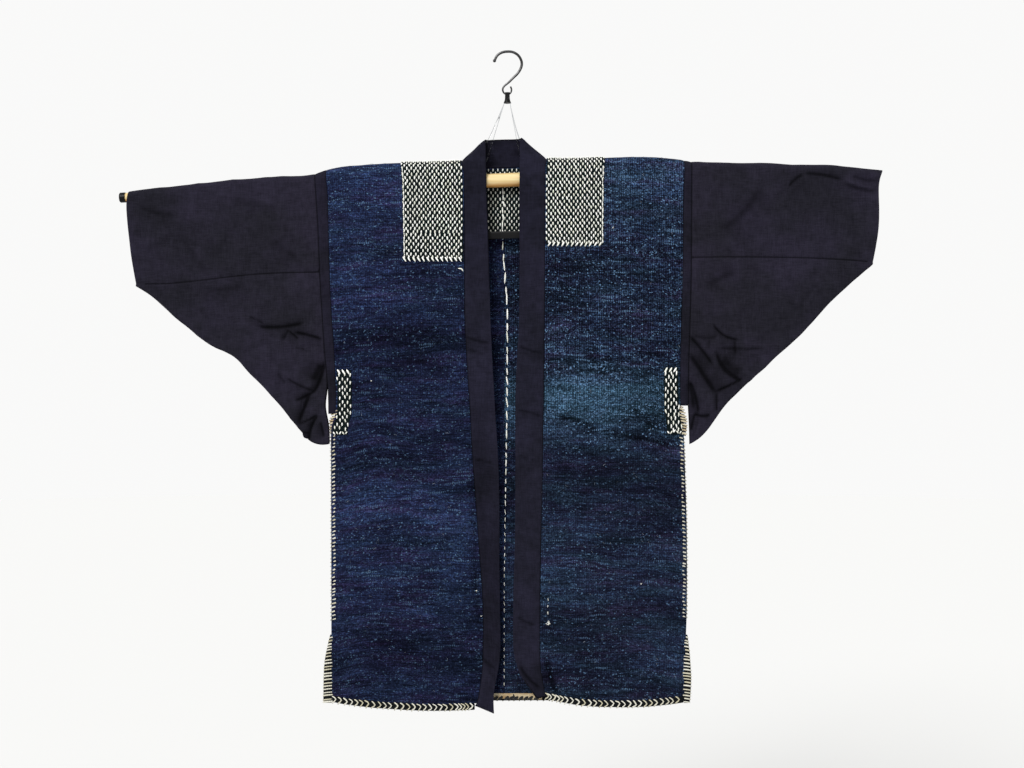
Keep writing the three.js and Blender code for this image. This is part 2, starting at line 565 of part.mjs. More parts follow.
// Makes a wall of even thickness on a grid's points, closed along all its edges
function sheetGeometry(grid, thickness, normals = gridNormals(grid)) {
  const index = new Map();
  const positions = [];
  const place = (r, c, half) => {
    const key = `${r},${c},${half}`;
    if (!index.has(key)) {
      const point = grid[r][c].clone().addScaledVector(normals[r][c], half * thickness / 2);
      index.set(key, positions.length / 3);
      positions.push(point.x, point.y, point.z);
    }
    return index.get(key);
  };
  const triangles = [];
  const quad = (a, b, c, d) => triangles.push(a, b, c, a, c, d);
  const edges = new Map();
  for (let r = 0; r + 1 < grid.length; r += 1) {
    for (let c = 0; c + 1 < grid[r].length; c += 1) {
      const cell = [[r, c], [r, c + 1], [r + 1, c + 1], [r + 1, c]];
      if (cell.some(([i, j]) => !grid[i][j])) continue;
      quad(...cell.map(([i, j]) => place(i, j, 1)));
      quad(...cell.map(([i, j]) => place(i, j, -1)).reverse());
      cell.forEach((from, k) => {
        const to = cell[(k + 1) % 4];
        if (!edges.delete(`${to}>${from}`)) edges.set(`${from}>${to}`, [from, to]);
      });
    }
  }
  for (const [from, to] of edges.values()) {
    quad(place(...to, 1), place(...from, 1), place(...from, -1), place(...to, -1));
  }
  const geometry = new THREE.BufferGeometry();
  geometry.setAttribute('position', new THREE.Float32BufferAttribute(positions, 3));
  geometry.setIndex(triangles);
  return faceOut(geometry);
}

// Turns a closed geometry's faces outward
function faceOut(geometry) {
  const at = geometry.attributes.position;
  const index = geometry.index.array;
  const corner = (k) => new THREE.Vector3().fromBufferAttribute(at, index[k]);
  let volume = 0;
  for (let k = 0; k < index.length; k += 3) volume += corner(k).dot(corner(k + 1).cross(corner(k + 2)));
  if (volume < 0) {
    for (let k = 0; k < index.length; k += 3) [index[k], index[k + 1]] = [index[k + 1], index[k]];
  }
  geometry.computeVertexNormals();
  return geometry;
}

// A point of a grid between its rows and columns, moved out of the cloth
function gridPlace(grid, normals, row, col, distance) {
  const r = Math.min(Math.floor(row), grid.length - 2);
  const c = Math.min(Math.floor(col), grid[0].length - 2);
  const mix = (list) => {
    const near = list[r][c].clone().lerp(list[r][c + 1], col - c);
    return near.lerp(list[r + 1][c].clone().lerp(list[r + 1][c + 1], col - c), row - r);
  };
  return mix(grid).addScaledVector(mix(normals).normalize(), distance);
}

// Whole numbers between two places, with both places themselves
function stops(from, to) {
  const whole = steps(Math.floor(to)).filter((k) => k > from + 0.1 && k < to - 0.1);
  return [from, ...whole, to];
}

// A piece laid on a panel, over a range of its rows and columns. Its points are the panel's, moved out.
function laidGrid(grid, normals, rows, columns, distance) {
  return stops(...rows).map((row) => stops(...columns).map((col) => gridPlace(grid, normals, row, col, distance)));
}

// Rows are found by height on one mesh line of the panel, on its front or its back half
function rowAtHeight(grid, line, height, face) {
  const rows = steps(grid.length - 2).filter((r) => {
    const [a, b] = [grid[r][line], grid[r + 1][line]];
    return (a.y + b.y) * face > 0 && (a.z - height) * (b.z - height) <= 0;
  });
  const r = rows[0];
  return r + (grid[r][line].z - height) / (grid[r][line].z - grid[r + 1][line].z);
}

const group = new THREE.Group();

function addPiece(name, geometry, material) {
  const mesh = new THREE.Mesh(geometry, material);
  mesh.name = name;
  group.add(mesh);
}

// Cloth of one side, all but the body's panel, which is given back for what lies across both sides
function addSide(name, side) {
  const body = bodyGrid(side);
  const normals = gridNormals(body);
  if (normals[2][4].y > 0) normals.flat().forEach((normal) => normal && normal.negate());
  addYokePatch(name, side, body, normals);
  addSidePatches(name, side, body, normals);
  addHemAndVents(name, side, body);

  const strip = armholeStripGrid(side);
  drawBackColumns(strip);
  addPiece(`armhole_strip_${name}`, sheetGeometry(strip, STRIP_CLOTH), PLAIN_COTTON);

  const upper = upperSleeveGrid(side);
  drawBack(column(upper, -1), column(upper, -2));
  drawBackRows(upper);
  addPiece(`sleeve_upper_${name}`, sheetGeometry(upper, SLEEVE_CLOTH), PLAIN_COTTON);

  const lower = lowerSleeveGrid(side);
  drawBack(column(lower, -1), column(lower, -2));
  drawBackRows(lower);
  addPiece(`sleeve_gusset_${name}`, sheetGeometry(lower, SLEEVE_CLOTH), PLAIN_COTTON);
  return { body, normals };
}

// The places in a body's grid that lie along the collar's seam, from the front hem to the centre of the back
function seamPlaces(panel, side) {
  const lastLine = PANEL_LINES.length - 1;
  const neckRow = panel.body.length - 1 - bodyRows(side).length;
  const up = steps(neckRow).map((row) => [row, lastLine]);
  const along = steps(NECK_LINES - 1).map((k) => [neckRow, lastLine + 1 + k]);
  return [...up, ...along];
}

// Gives a panel's edge and the collar's edge beside it one slant between them, so that they part evenly
function shareSlant(panel, places, collarNormals, collarRow) {
  places.forEach(([r, c], k) => {
    const own = panel.normals[r][c];
    const other = collarNormals[collarRow(k)][0];
    const turn = Math.sign(own.dot(other));
    own.addScaledVector(other, turn).normalize();
    other.copy(own).multiplyScalar(turn);
  });
}

function addBody(name, side, { body, normals }) {
  const sewn = body.map((row) => row.map((point) => point && point.clone()));
  const lastLine = PANEL_LINES.length - 1;
  const neckRow = sewn.length - 1 - bodyRows(side).length;
  drawBack(column(sewn, 0), column(sewn, 1));
  for (let r = 0; r <= neckRow; r += 1) drawBack([sewn[r][lastLine]], [sewn[r][lastLine - 1]]);
  for (let r = neckRow; r < sewn.length; r += 1) drawBack([sewn[r].at(-1)], [sewn[r].at(-2)]);
  for (let c = lastLine; c < sewn[0].length; c += 1) drawBack([sewn[neckRow][c]], [sewn[neckRow + 1][c]]);
  addPiece(`body_${name}`, sheetGeometry(sewn, BODY_CLOTH, normals), RAG_WEAVE);
}

// The stitched patch over a shoulder, beside the collar, on the front and the back
function addYokePatch(name, side, body, normals) {
  const lastLine = PANEL_LINES.length - 1;
  const line = PANEL_LINES.findIndex((share) => share > 1 - side.patchWidthShare) - 1;
  const between = PANEL_LINES[line + 1] - PANEL_LINES[line];
  const start = line + (1 - side.patchWidthShare - PANEL_LINES[line]) / between;
  const rows = [-1, 1].map((face) => rowAtHeight(body, line, side.patchFoot, face));
  const out = BODY_CLOTH / 2 + LAID_GAP + PATCH_CLOTH / 2;
  const patch = laidGrid(body, normals, rows, [start, lastLine - YOKE_PATCH_INSET], out);
  addPiece(`yoke_patch_${name}`, sheetGeometry(patch, PATCH_CLOTH), STITCHED);
}

// The small stitched patches at the foot of an armhole, on the front and the back
function addSidePatches(name, side, body, normals) {
  const out = BODY_CLOTH / 2 + LAID_GAP + PATCH_CLOTH / 2;
  for (const [place, face] of [['front', -1], ['back', 1]]) {
    const rows = [side.sidePatch.top, side.sidePatch.foot].map((z) => rowAtHeight(body, 1, z, face));
    rows.sort((a, b) => a - b);
    const patch = laidGrid(body, normals, rows, SIDE_PATCH_LINES, out);
    addPiece(`side_patch_${place}_${name}`, sheetGeometry(patch, PATCH_CLOTH), STITCHED);
  }
}

// The overcast edges: along the front hem of this side, and down both edges of its vent
function addHemAndVents(name, side, body) {
  const start = side.collarEnd.seam[0] + side.sign * HEM_END_GAP;
  const upper = body[0].slice(0, PANEL_LINES.length).map((point) => point.clone());
  const [last, beside] = [upper.at(-1), upper.at(-2)];
  last.lerp(beside, (start - last.x) / (beside.x - last.x));
  upper[0].x -= side.sign * SEAM_GAP;
  addPiece(`hem_binding_front_${name}`, sheetGeometry(hemRows(upper, side, -1), BINDING_CLOTH), CREAM_EDGE);
  for (const [place, face] of [['front', -1], ['back', 1]]) {
    const edge = readTable(side.front, PANEL_FOOT, 1);
    const vent = spaced(VENT_TOP, hemLine(side, edge, face) + 1, VENT_ROWS).map((z) => {
      const inner = readTable(side.front, z, 1) + side.sign * SEAM_GAP;
      const outer = readTable(side.ventEdge, z);
      return [inner, outer].map((x) => new THREE.Vector3(x, face * edgeDepth(z), z));
    });
    addPiece(`vent_binding_${place}_${name}`, sheetGeometry(vent, VENT_CLOTH), CREAM_EDGE);
  }
}

// The two edges of a hem's binding under the panel's lowest points
function hemRows(upper, side, face) {
  return upper.map((point) => {
    const low = hemLine(side, point.x, face) + 1;
    return [new THREE.Vector3(point.x, point.y, point.z - SEAM_GAP), new THREE.Vector3(point.x, point.y, low)];
  });
}

// What crosses the centre of the back: the lining behind the neck, the back hem's binding and its tape inside
function addBackPieces(right, left) {
  const across = (row, lines) => [...lines(right[row]), ...lines(left[row]).reverse()];
  const neckRow = right.length - 1 - bodyRows(SIDES.right).length;
  const neckLines = (row) => row.slice(PANEL_LINES.length - 2, -1);
  const points = steps(LINING_ROWS).map((k) => across(neckRow + k, neckLines));
  const inward = points.map((row) => row.map(() => new THREE.Vector3(0, -1, 0)));
  const columns = [LINING_INSET, points[0].length - 1 - LINING_INSET];
  const out = BODY_CLOTH / 2 + LAID_GAP + LINING_CLOTH / 2;
  const lining = laidGrid(points, inward, [LINING_INSET, LINING_ROWS - 1], columns, out);
  addPiece('yoke_lining', sheetGeometry(lining, LINING_CLOTH), STITCHED);

  const upper = across(right.length - 1, (row) => row.slice(0, -1)).map((point) => point.clone());
  upper[0].x += SEAM_GAP;
  upper.at(-1).x -= SEAM_GAP;
  addPiece('hem_binding_back', sheetGeometry(hemRows(upper, SIDES.right, 1), BINDING_CLOTH), CREAM_EDGE);

  const middle = upper.filter((point) => Math.abs(point.x) < TAPE.reach);
  const tape = middle.map((point) => {
    const depth = point.y - BINDING_CLOTH / 2 - LAID_GAP - TAPE_CLOTH / 2;
    return [TAPE.top, TAPE.foot].map((rise) => new THREE.Vector3(point.x, depth, point.z + rise));
  });
  addPiece('hem_tape_back', sheetGeometry(tape, TAPE_CLOTH), TAN_TAPE);
}

// The collar's two halves meet behind the neck. Along the seam it shares its edge's slant with the body.
function addCollar(right, left) {
  const halves = [collarHalf(SIDES.right), collarHalf(SIDES.left).reverse()];
  const grid = [...halves[0], ...halves[1].slice(1)];
  const normals = gridNormals(grid);
  shareSlant(right, seamPlaces(right, SIDES.right), normals, (k) => k + 1);
  shareSlant(left, seamPlaces(left, SIDES.left), normals, (k) => grid.length - 2 - k);
  drawBack(column(grid, 0), column(grid, 1));
  addPiece('collar', sheetGeometry(grid, COLLAR_CLOTH, normals), PLAIN_COTTON);
}

// Joining and cutting
function toSolid(geometry) {
  const bare = geometry.clone();
  bare.deleteAttribute('normal');
  bare.deleteAttribute('uv');
  const merged = mergeVertices(bare, 1e-3);
  return new wasm.Manifold(new wasm.Mesh({
    numProp: 3,
    vertProperties: new Float32Array(merged.attributes.position.array),
    triVerts: new Uint32Array(merged.index.array),
  }));
}

function toGeometry(solid) {
  const mesh = solid.getMesh();
  const geometry = new THREE.BufferGeometry();
  geometry.setAttribute('position', new THREE.Float32BufferAttribute(mesh.vertProperties, 3));
  geometry.setIndex([...mesh.triVerts]);
  geometry.computeVertexNormals();
  return geometry;
}

const join = (...solids) => solids.reduce((whole, solid) => whole.add(solid));

// A turned shape whose axis runs from one point of the hanger's plane to another. Profile: [radius, along].
function turned(profile, from, to, sides) {
  const start = new THREE.Vector3(from[0], 0, from[1]);
  const axis = new THREE.Vector3(to[0], 0, to[1]).sub(start).normalize();
  const points = profile.map(([radius, along]) => new THREE.Vector2(radius, along));
  const geometry = new THREE.LatheGeometry(points, sides);
  geometry.applyQuaternion(new THREE.Quaternion().setFromUnitVectors(new THREE.Vector3(0, 1, 0), axis));
  geometry.translate(start.x, start.y, start.z);
  return geometry;
}

const rod = (radius, from, to, sides) => {
  const length = Math.hypot(to[0] - from[0], to[1] - from[1]);
  return turned([[0, 0], [radius, 0], [radius, length], [0, length]], from, to, sides);
};

// A wire through points of the hanger's plane. Rows: x, z, radius.
function wireGeometry(rows, sides, extra = 0) {
  const grid = rows.map(([x, z, radius], k) => {
    const before = rows[Math.max(0, k - 1)];
    const after = rows[Math.min(rows.length - 1, k + 1)];
    const along = new THREE.Vector2(after[0] - before[0], after[1] - before[1]).normalize();
    return steps(sides - 1).map((s) => {
      const angle = (2 * Math.PI * s) / sides;
      const out = (radius + extra) * Math.cos(angle);
      return [x - along.y * out, (radius + extra) * Math.sin(angle), z + along.x * out];
    });
  });
  const positions = grid.flat(2);
  const triangles = [];
  for (let r = 0; r + 1 < rows.length; r += 1) {
    for (let s = 0; s < sides; s += 1) {
      const [a, b] = [r * sides + s, r * sides + ((s + 1) % sides)];
      triangles.push(a, b, b + sides, a, b + sides, a + sides);
    }
  }
  const last = (rows.length - 1) * sides;
  for (let s = 1; s + 1 < sides; s += 1) triangles.push(0, s + 1, s, last, last + s, last + s + 1);
  const geometry = new THREE.BufferGeometry();
  geometry.setAttribute('position', new THREE.Float32BufferAttribute(positions, 3));
  geometry.setIndex(triangles);
  return faceOut(geometry);
}

// Rows for a wire along a smooth curve through named points
function smoothRows(rows, count) {
  const curve = new THREE.CatmullRomCurve3(rows.map(([x, z, radius]) => new THREE.Vector3(x, radius, z)));
  return curve.getSpacedPoints(count).map((point) => [point.x, point.z, point.y]);
}

function block(width, depth, height, x, z, slope = 0) {
  const geometry = new THREE.BoxGeometry(width, depth, height);
  geometry.rotateY(-Math.atan(slope));
  geometry.translate(x, 0, z);
  return geometry;
}

const tubeHeight = (x) => lerp(TUBE.from[1], TUBE.to[1], (x - TUBE.from[0]) / (TUBE.to[0] - TUBE.from[0]));

// Height of an arm's axis at its end, with the cap or the arm just under the inside of the sleeve
function armEndHeight(x, radius) {
  return topLine(x) - SLEEVE_CLOTH - FIT_GAP - radius;
}

function addHanger() {
  const rightSlope = (armEndHeight(RIGHT_CUFF, ARM_RADIUS) - TUBE.from[1]) / (RIGHT_CUFF - TUBE.from[0]);
  const rightEnd = [RIGHT_ARM_END, TUBE.from[1] + rightSlope * (RIGHT_ARM_END - TUBE.from[0])];
  const leftEnd = [LEFT_ARM_END, armEndHeight(LEFT_ARM_END, CAP.radius)];
  const arms = { right: [TUBE.from, rightEnd], left: [TUBE.to, leftEnd] };
  let tube = toSolid(rod(TUBE.radius, TUBE.from, TUBE.to, 24));
  for (const [name, [root, end]] of Object.entries(arms)) {
    const out = new THREE.Vector2(end[0] - root[0], end[1] - root[1]).normalize();
    const along = (distance) => [root[0] + out.x * distance, root[1] + out.y * distance];
    const length = Math.hypot(end[0] - root[0], end[1] - root[1]);
    const seat = along(-ARM_SEAT);
    const armTip = along(length - CAP.wall - FIT_GAP);
    const socket = rod(ARM_RADIUS + FIT_GAP, along(-ARM_SEAT - FIT_GAP), along(SOCKET_OVERRUN), 20);
    tube = tube.subtract(toSolid(socket));
    const neck = ARM_RADIUS - ARM_STEP - FIT_GAP;
    const shank = length + ARM_SEAT - CAP.length - CAP.wall;
    const arm = turned([
      [0, 0], [ARM_RADIUS, 0], [ARM_RADIUS, shank], [neck, shank + ARM_STEP_LENGTH],
      [neck, length + ARM_SEAT - CAP.wall - FIT_GAP], [0, length + ARM_SEAT - CAP.wall - FIT_GAP],
    ], seat, armTip, 20);
    addPiece(`rod_arm_${name}`, arm, PALE_WOOD);
    const cap = turned([
      [0, length - CAP.wall], [neck + FIT_GAP, length - CAP.wall], [neck + FIT_GAP, length - CAP.length],
      [CAP.radius, length - CAP.length], [CAP.radius, length - CAP.round],
      [CAP.radius - CAP.round, length], [0, length],
    ], root, end, 20);
    addPiece(`arm_cap_${name}`, cap, BLACK_PLASTIC);
  }
  addPiece('rod_centre', toGeometry(tube), PALE_WOOD);
  addTieBar();
  for (const [name, line] of Object.entries(LINES)) addLine(name, line);
  addHookAndClip();
}

// A ring that sits round the tube at x
function tubeRing(x, width, wall, sides) {
  const reach = width / 2;
  const inner = TUBE.radius + FIT_GAP;
  const slope = (TUBE.to[1] - TUBE.from[1]) / (TUBE.to[0] - TUBE.from[0]);
  const ends = [-reach, reach].map((d) => [x + d, tubeHeight(x) + slope * d]);
  const profile = [[inner, 0], [inner + wall, 0], [inner + wall, width], [inner, width], [inner, 0]];
  return turned(profile, ends[0], ends[1], sides);
}

// The lower bar with its two drop arms, hung by rings round the tube
function addTieBar() {
  const { x, z, slope, height, depth, ringWidth, ringWall } = TIE_BAR;
  const solids = [toSolid(block(2 * x + DROP_ARM.width, depth, height, 0, z, slope))];
  for (const end of [-x, x]) {
    const top = tubeHeight(end) - TUBE.radius - FIT_GAP - ringWall / 2;
    const foot = z + slope * end;
    solids.push(toSolid(block(DROP_ARM.width, DROP_ARM.depth, top - foot, end, (top + foot) / 2)));
    solids.push(toSolid(tubeRing(end, ringWidth, ringWall, 24)));
  }
  addPiece('tie_bar', toGeometry(join(...solids)), BLACK_PLASTIC);
}

// Clear line from the clip to two rings round the tube
function addLine(name, { start, neck, rings }) {
  const ringTop = TUBE.radius + FIT_GAP + LINE_RING.wall / 2;
  const solids = rings.map((x) => toSolid(tubeRing(x, LINE_RING.width, LINE_RING.wall, 16)));
  const outer = [start, neck, [rings[0], tubeHeight(rings[0]) + ringTop]];
  const inner = [start, [rings[1], tubeHeight(rings[1]) + ringTop]];
  for (const route of [outer, inner]) {
    solids.push(toSolid(wireGeometry(route.map(([x, z]) => [x, z, LINE_RADIUS]), 6)));
  }
  addPiece(`hanging_line_${name}`, toGeometry(join(...solids)), CLEAR_LINE);
}

function addHookAndClip() {
  const rows = smoothRows(HOOK, 44);
  const tip = new THREE.SphereGeometry(HOOK_TIP_RADIUS, 12, 8);
  tip.translate(HOOK[0][0], 0, HOOK[0][1]);
  const wire = toSolid(wireGeometry(rows, 8)).add(toSolid(tip));
  addPiece('wall_hook', toGeometry(wire), BLACK_WIRE);
  const head = block(CLIP.headWidth, CLIP.headDepth, CLIP.top - CLIP.neckFoot, CLIP.x,
    (CLIP.top + CLIP.neckFoot) / 2);
  const skirt = turned([
    [0, -0.5], [CLIP.skirt[0], -0.5], [CLIP.skirt[1], CLIP.neckFoot - CLIP.foot], [0, CLIP.neckFoot - CLIP.foot],
  ], [CLIP.x, CLIP.neckFoot], [CLIP.x, CLIP.foot], 20);
  const bore = toSolid(wireGeometry(rows, 8, FIT_GAP));
  addPiece('line_clip', toGeometry(join(toSolid(head), toSolid(skirt)).subtract(bore)), BLACK_PLASTIC);
}

const right = addSide('right', SIDES.right);
const left = addSide('left', SIDES.left);
addBackPieces(right.body, left.body);
addCollar(right, left);
addBody('right', SIDES.right, right);
addBody('left', SIDES.left, left);
addHanger();

export default group;
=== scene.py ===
# A country work jacket of indigo rag-woven cloth, hung flat on a telescopic wooden hanger under a wire hook.
# The cloth is grown from the frame's own solids as thin shells. Creases and stitches are sized in
# millimetres, with x to the wearer's left, y into the wall and z up.
import math

import bmesh
import bpy
import numpy as np
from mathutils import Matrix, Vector
from mathutils.bvhtree import BVHTree
from mathutils.kdtree import KDTree


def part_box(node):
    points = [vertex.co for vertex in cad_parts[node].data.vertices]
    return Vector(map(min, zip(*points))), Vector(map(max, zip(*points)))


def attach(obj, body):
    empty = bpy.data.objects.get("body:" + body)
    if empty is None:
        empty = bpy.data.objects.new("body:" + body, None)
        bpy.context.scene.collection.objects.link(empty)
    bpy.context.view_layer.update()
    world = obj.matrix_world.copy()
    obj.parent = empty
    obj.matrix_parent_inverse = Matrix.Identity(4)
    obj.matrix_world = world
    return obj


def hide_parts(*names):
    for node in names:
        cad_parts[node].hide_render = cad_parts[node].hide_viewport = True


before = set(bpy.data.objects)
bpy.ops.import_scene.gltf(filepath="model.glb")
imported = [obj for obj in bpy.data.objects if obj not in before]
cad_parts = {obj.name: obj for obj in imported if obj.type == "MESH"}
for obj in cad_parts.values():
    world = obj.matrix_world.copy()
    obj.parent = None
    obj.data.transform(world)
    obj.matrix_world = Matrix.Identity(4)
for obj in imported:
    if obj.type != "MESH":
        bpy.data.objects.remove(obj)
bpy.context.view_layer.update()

MM = 0.001
FRONT = -1
BACK = 1

# Light: the world and the key light add up to this many times a surface's own colour
WORLD_LIGHT = 0.95
KEY_LIGHT = 1.0
EXPOSURE = WORLD_LIGHT + KEY_LIGHT
KEY_FROM = Vector((-0.42, -0.8, 0.62))
KEY_SOFTNESS = 32
FLOOR_HEIGHT = -1.75
FLOOR_SIZE = 14

# The camera looks straight at the wall, level with the middle of the picture
CAMERA_AT = (0.0088, -2.612, -0.5654)
VIEW_WIDTH = 1.7408
VIEW_DISTANCE = 2.6
SENSOR = 36

CREASE_ANGLE = 52              # two faces that meet at more than this belong to different sides of the cloth
CREASE_NEAR = 0.16             # a point with more shade than this belongs to a crease
CREASE_EDGE = 3.2              # the mesh's longest edges along a crease, about
SEAM_REACH = 14
SEAM_WIDTH = 2.6
PUCKER_LENGTH = 15
PUCKER_REACH = 9
PATCH_EDGE = (0.4, 1.6)        # how far a patch's edge is drawn in, and over which width


# Creases. Columns: face, x and z of the start, x and z of the end, width, height, bow. A
# crease that runs to the left has its shadow below it, and one that runs down has it on the right.
CREASES = [
    # the right sleeve
    [FRONT, -441, -450, -411, -465, 3, -1.8, -1],
    [FRONT, -430, -467, -339, -459, 5.5, -4.0, 5],
    [FRONT, -371, -471, -383, -493, 3, -2.0, -1],
    [FRONT, -372, -474, -353, -490, 3, -2.4, 0],
    [FRONT, -365, -477, -311, -491, 4.5, -3.8, -2],
    [FRONT, -362, -503, -342, -507, 3, -1.6, 0],
    [FRONT, -392, -544, -376, -566, 5, -1.2, 1],
    [FRONT, -378, -553, -328, -577, 4, -2.2, 3],
    [FRONT, -316, -530, -332, -562, 11, -2.2, 0],
    [FRONT, -310, -524, -331, -583, 5, -3.8, -4],
    [FRONT, -324, -575, -364, -595, 4, -2.6, -2],
    [FRONT, -335, -580, -357, -636, 5.5, -3.6, 0],
    [FRONT, -359, -635, -321, -616, 3, -2.4, 2],
    [FRONT, -346, -590, -349, -612, 3, 2.0, 0],
    [FRONT, -321, -616, -338, -667, 4, -3.4, 4],
    [FRONT, -356, -645, -336, -649, 3, -2.4, 1],
    [FRONT, -318, -628, -311, -658, 4, -2.6, 0],
    [FRONT, -545, -300, -500, -372, 11, 1.2, 5],
    [FRONT, -632, -262, -560, -280, 8, -1.4, 3],
    [FRONT, -622, -330, -575, -306, 8, 1.2, 2],
    [FRONT, -470, -236, -380, -256, 12, 1.1, 3],
    [FRONT, -520, -404, -440, -396, 9, -1.2, 4],
    [FRONT, -400, -318, -352, -352, 11, -1.0, 3],
    [BACK, -430, -452, -345, -470, 6, -3.0, 4],
    [BACK, -372, -486, -318, -498, 5, 2.4, -3],
    [BACK, -384, -560, -322, -586, 6, -2.6, 3],
    [BACK, -560, -290, -520, -366, 10, 1.4, -5],
    [BACK, -348, -600, -330, -660, 5, 2.0, 2],
    [BACK, -330, -560, -316, -630, 5, -2.2, 3],
    [BACK, -610, -268, -540, -290, 9, -1.3, 3],
    # the left sleeve
    [FRONT, 478, -232, 506, -208, 5, -2.6, -3],
    [FRONT, 504, -207, 576, -219, 5, -2.4, -3],
    [FRONT, 572, -218, 632, -234, 5, 2.6, 2],
    [FRONT, 586, -211, 634, -221, 4, -1.8, 2],
    [FRONT, 360, -308, 437, -228, 13, -1.4, 6],
    [FRONT, 349, -460, 400, -491, 4, -3.0, 8],
    [FRONT, 317, -482, 361, -484, 4, -1.8, 4],
    [FRONT, 308, -480, 354, -537, 4.5, -3.4, -2],
    [FRONT, 345, -487, 346, -509, 3, -1.4, 0],
    [FRONT, 355, -503, 442, -504, 4.5, -2.0, 2],
    [FRONT, 389, -490, 390, -517, 4, -1.8, 0],
    [FRONT, 404, -562, 355, -506, 6, -3.4, -10],
    [FRONT, 366, -520, 402, -548, 15, -1.5, 0],
    [FRONT, 354, -579, 404, -555, 3.5, -3.0, 1],
    [FRONT, 360, -587, 309, -510, 8, -3.8, 0],
    [FRONT, 358, -579, 358, -614, 3, -2.6, 0],
    [FRONT, 309, -556, 328, -621, 4.5, -4.0, -4],
    [FRONT, 319, -616, 349, -618, 4, -3.8, 3],
    [FRONT, 321, -614, 314, -648, 4, -2.6, 0],
    [FRONT, 313, -560, 319, -612, 7, -1.8, 0],
    [FRONT, 330, -630, 322, -656, 4, 1.6, 0],
    [FRONT, 392, -376, 340, -402, 9, -1.2, 4],
    [FRONT, 596, -250, 606, -330, 9, 1.0, 3],
    [FRONT, 540, -392, 500, -450, 9, 1.2, 3],
    [BACK, 352, -470, 398, -478, 5, -2.6, 2],
    [BACK, 314, -500, 362, -556, 6, 2.8, 5],
    [BACK, 360, -584, 410, -556, 5, -2.6, 3],
    [BACK, 560, -212, 618, -228, 6, -2.2, 3],
    [BACK, 480, -250, 500, -332, 10, -1.2, 5],
    [BACK, 314, -548, 328, -622, 5, -2.8, 3],
    [BACK, 330, -610, 350, -626, 4, 2.0, 2],
    # the body
    [FRONT, 80, -619, 160, -650, 9, -3.4, -5],
    [FRONT, 156, -648, 292, -672, 12, -2.6, -4],
    [FRONT, 86, -640, 170, -672, 16, 1.8, 6],
    [FRONT, 206, -600, 262, -640, 14, -1.6, 5],
    [FRONT, 120, -520, 280, -506, 17, -1.4, 8],
    [FRONT, 84, -706, 210, -728, 13, 1.2, 5],
    [FRONT, 140, -835, 296, -806, 15, -1.6, 8],
    [FRONT, 90, -1006, 240, -1018, 14, 1.3, 6],
    [FRONT, -280, -470, -120, -452, 16, 1.4, 7],
    [FRONT, -210, -500, -84, -545, 18, -1.6, 6],
    [FRONT, -292, -556, -200, -590, 14, -1.6, 5],
    [FRONT, -288, -664, -150, -688, 15, -1.4, 7],
    [FRONT, -270, -842, -84, -822, 16, 1.4, -8],
    [FRONT, -280, -985, -130, -1002, 14, -1.4, 6],
    [BACK, 60, -640, 290, -668, 13, -2.4, 8],
    [BACK, 40, -846, 250, -826, 16, -1.4, 8],
    [BACK, -280, -500, -60, -476, 16, 1.6, 7],
    [BACK, -290, -760, -90, -790, 15, -1.6, -7],
    [BACK, -240, -962, -40, -978, 14, 1.2, 6],
    [FRONT, 66, -1026, 88, -1100, 10, -3.0, 2],
    [FRONT, -57, -700, -50, -1000, 5, -1.2, 0],
    # the collar's two bands
    [FRONT, -52, -560, -34, -1070, 26, -1.0, 0],
    [FRONT, -74, -484, -26, -496, 4, -2.0, 2],
    [FRONT, -70, -500, -34, -512, 4, 1.4, 1],
    [FRONT, -64, -690, -20, -700, 4, -1.4, 1],
    [FRONT, -48, -1020, -16, -1052, 5, -1.6, 3],
    [FRONT, 18, -500, 66, -514, 4, -1.9, 2],
    [FRONT, 16, -610, 62, -622, 4, -1.7, -2],
    [FRONT, 16, -680, 60, -694, 4, 1.7, 2],
    [FRONT, 16, -960, 52, -976, 4, -1.8, 2],
    [FRONT, 20, -1040, 60, -1084, 6, -2.2, 4],
    [BACK, -50, -158, -20, -182, 5, 1.2, 2],
    [BACK, 10, -160, 40, -180, 5, -1.2, 2],
]


# Faded and darker places on the rag weave. Columns: face, x, z, half width, half height, how much lighter.
WORN = [
    [FRONT, -96, -522, 78, 20, 0.55],
    [FRONT, -250, -415, 60, 26, 0.2],
    [FRONT, -180, -788, 120, 11, 0.3],
    [FRONT, -128, -474, 62, 34, -0.3],
    [FRONT, -262, -545, 40, 14, 0.25],
    [FRONT, -200, -890, 110, 16, 0.15],
    [FRONT, 128, -586, 82, 30, 0.4],
    [FRONT, 262, -600, 52, 40, -0.2],
    [FRONT, 258, -411, 36, 6, -0.45],
    [FRONT, 226, -552, 60, 22, -0.3],
    [FRONT, 160, -444, 34, 20, 0.3],
    [FRONT, 266, -444, 30, 24, 0.3],
    [FRONT, 110, -700, 60, 30, -0.25],
    [FRONT, 250, -760, 60, 40, -0.15],
    [BACK, -120, -540, 90, 26, 0.4],
    [BACK, 140, -610, 90, 30, 0.5],
    [BACK, 60, -800, 120, 20, -0.25],
    [BACK, -200, -860, 100, 22, 0.25],
]


class Cloth:
    """One cut piece of cloth: how its shell is made, and the flat size that it was cut to."""

    def __init__(self, node, kind, levels, thickness, flat, area, rests_on, **options):
        self.node = node
        self.kind = kind
        self.levels = levels
        self.thickness = thickness
        self.flat = flat
        self.area = area
        self.rests_on = rests_on
        self.inward = options.get("inward", False)
        self.free = options.get("free", nowhere)
        self.seam = options.get("seam", 0.55)
        self.grow = options.get("grow", 0.35)
        self.rounding = options.get("rounding", 0.35)


def nowhere(points):
    return np.zeros(len(points), dtype=bool)


def collar_free(points):
    """The collar's folded edge isn't sewn to anything."""
    x = points[:, 0]
    z = points[:, 2]
    return (np.abs(x - 0.5) < 30) & (z < -150) & (points[:, 1] < 0)


def cuff(points):
    return np.abs(points[:, 0]) > 616


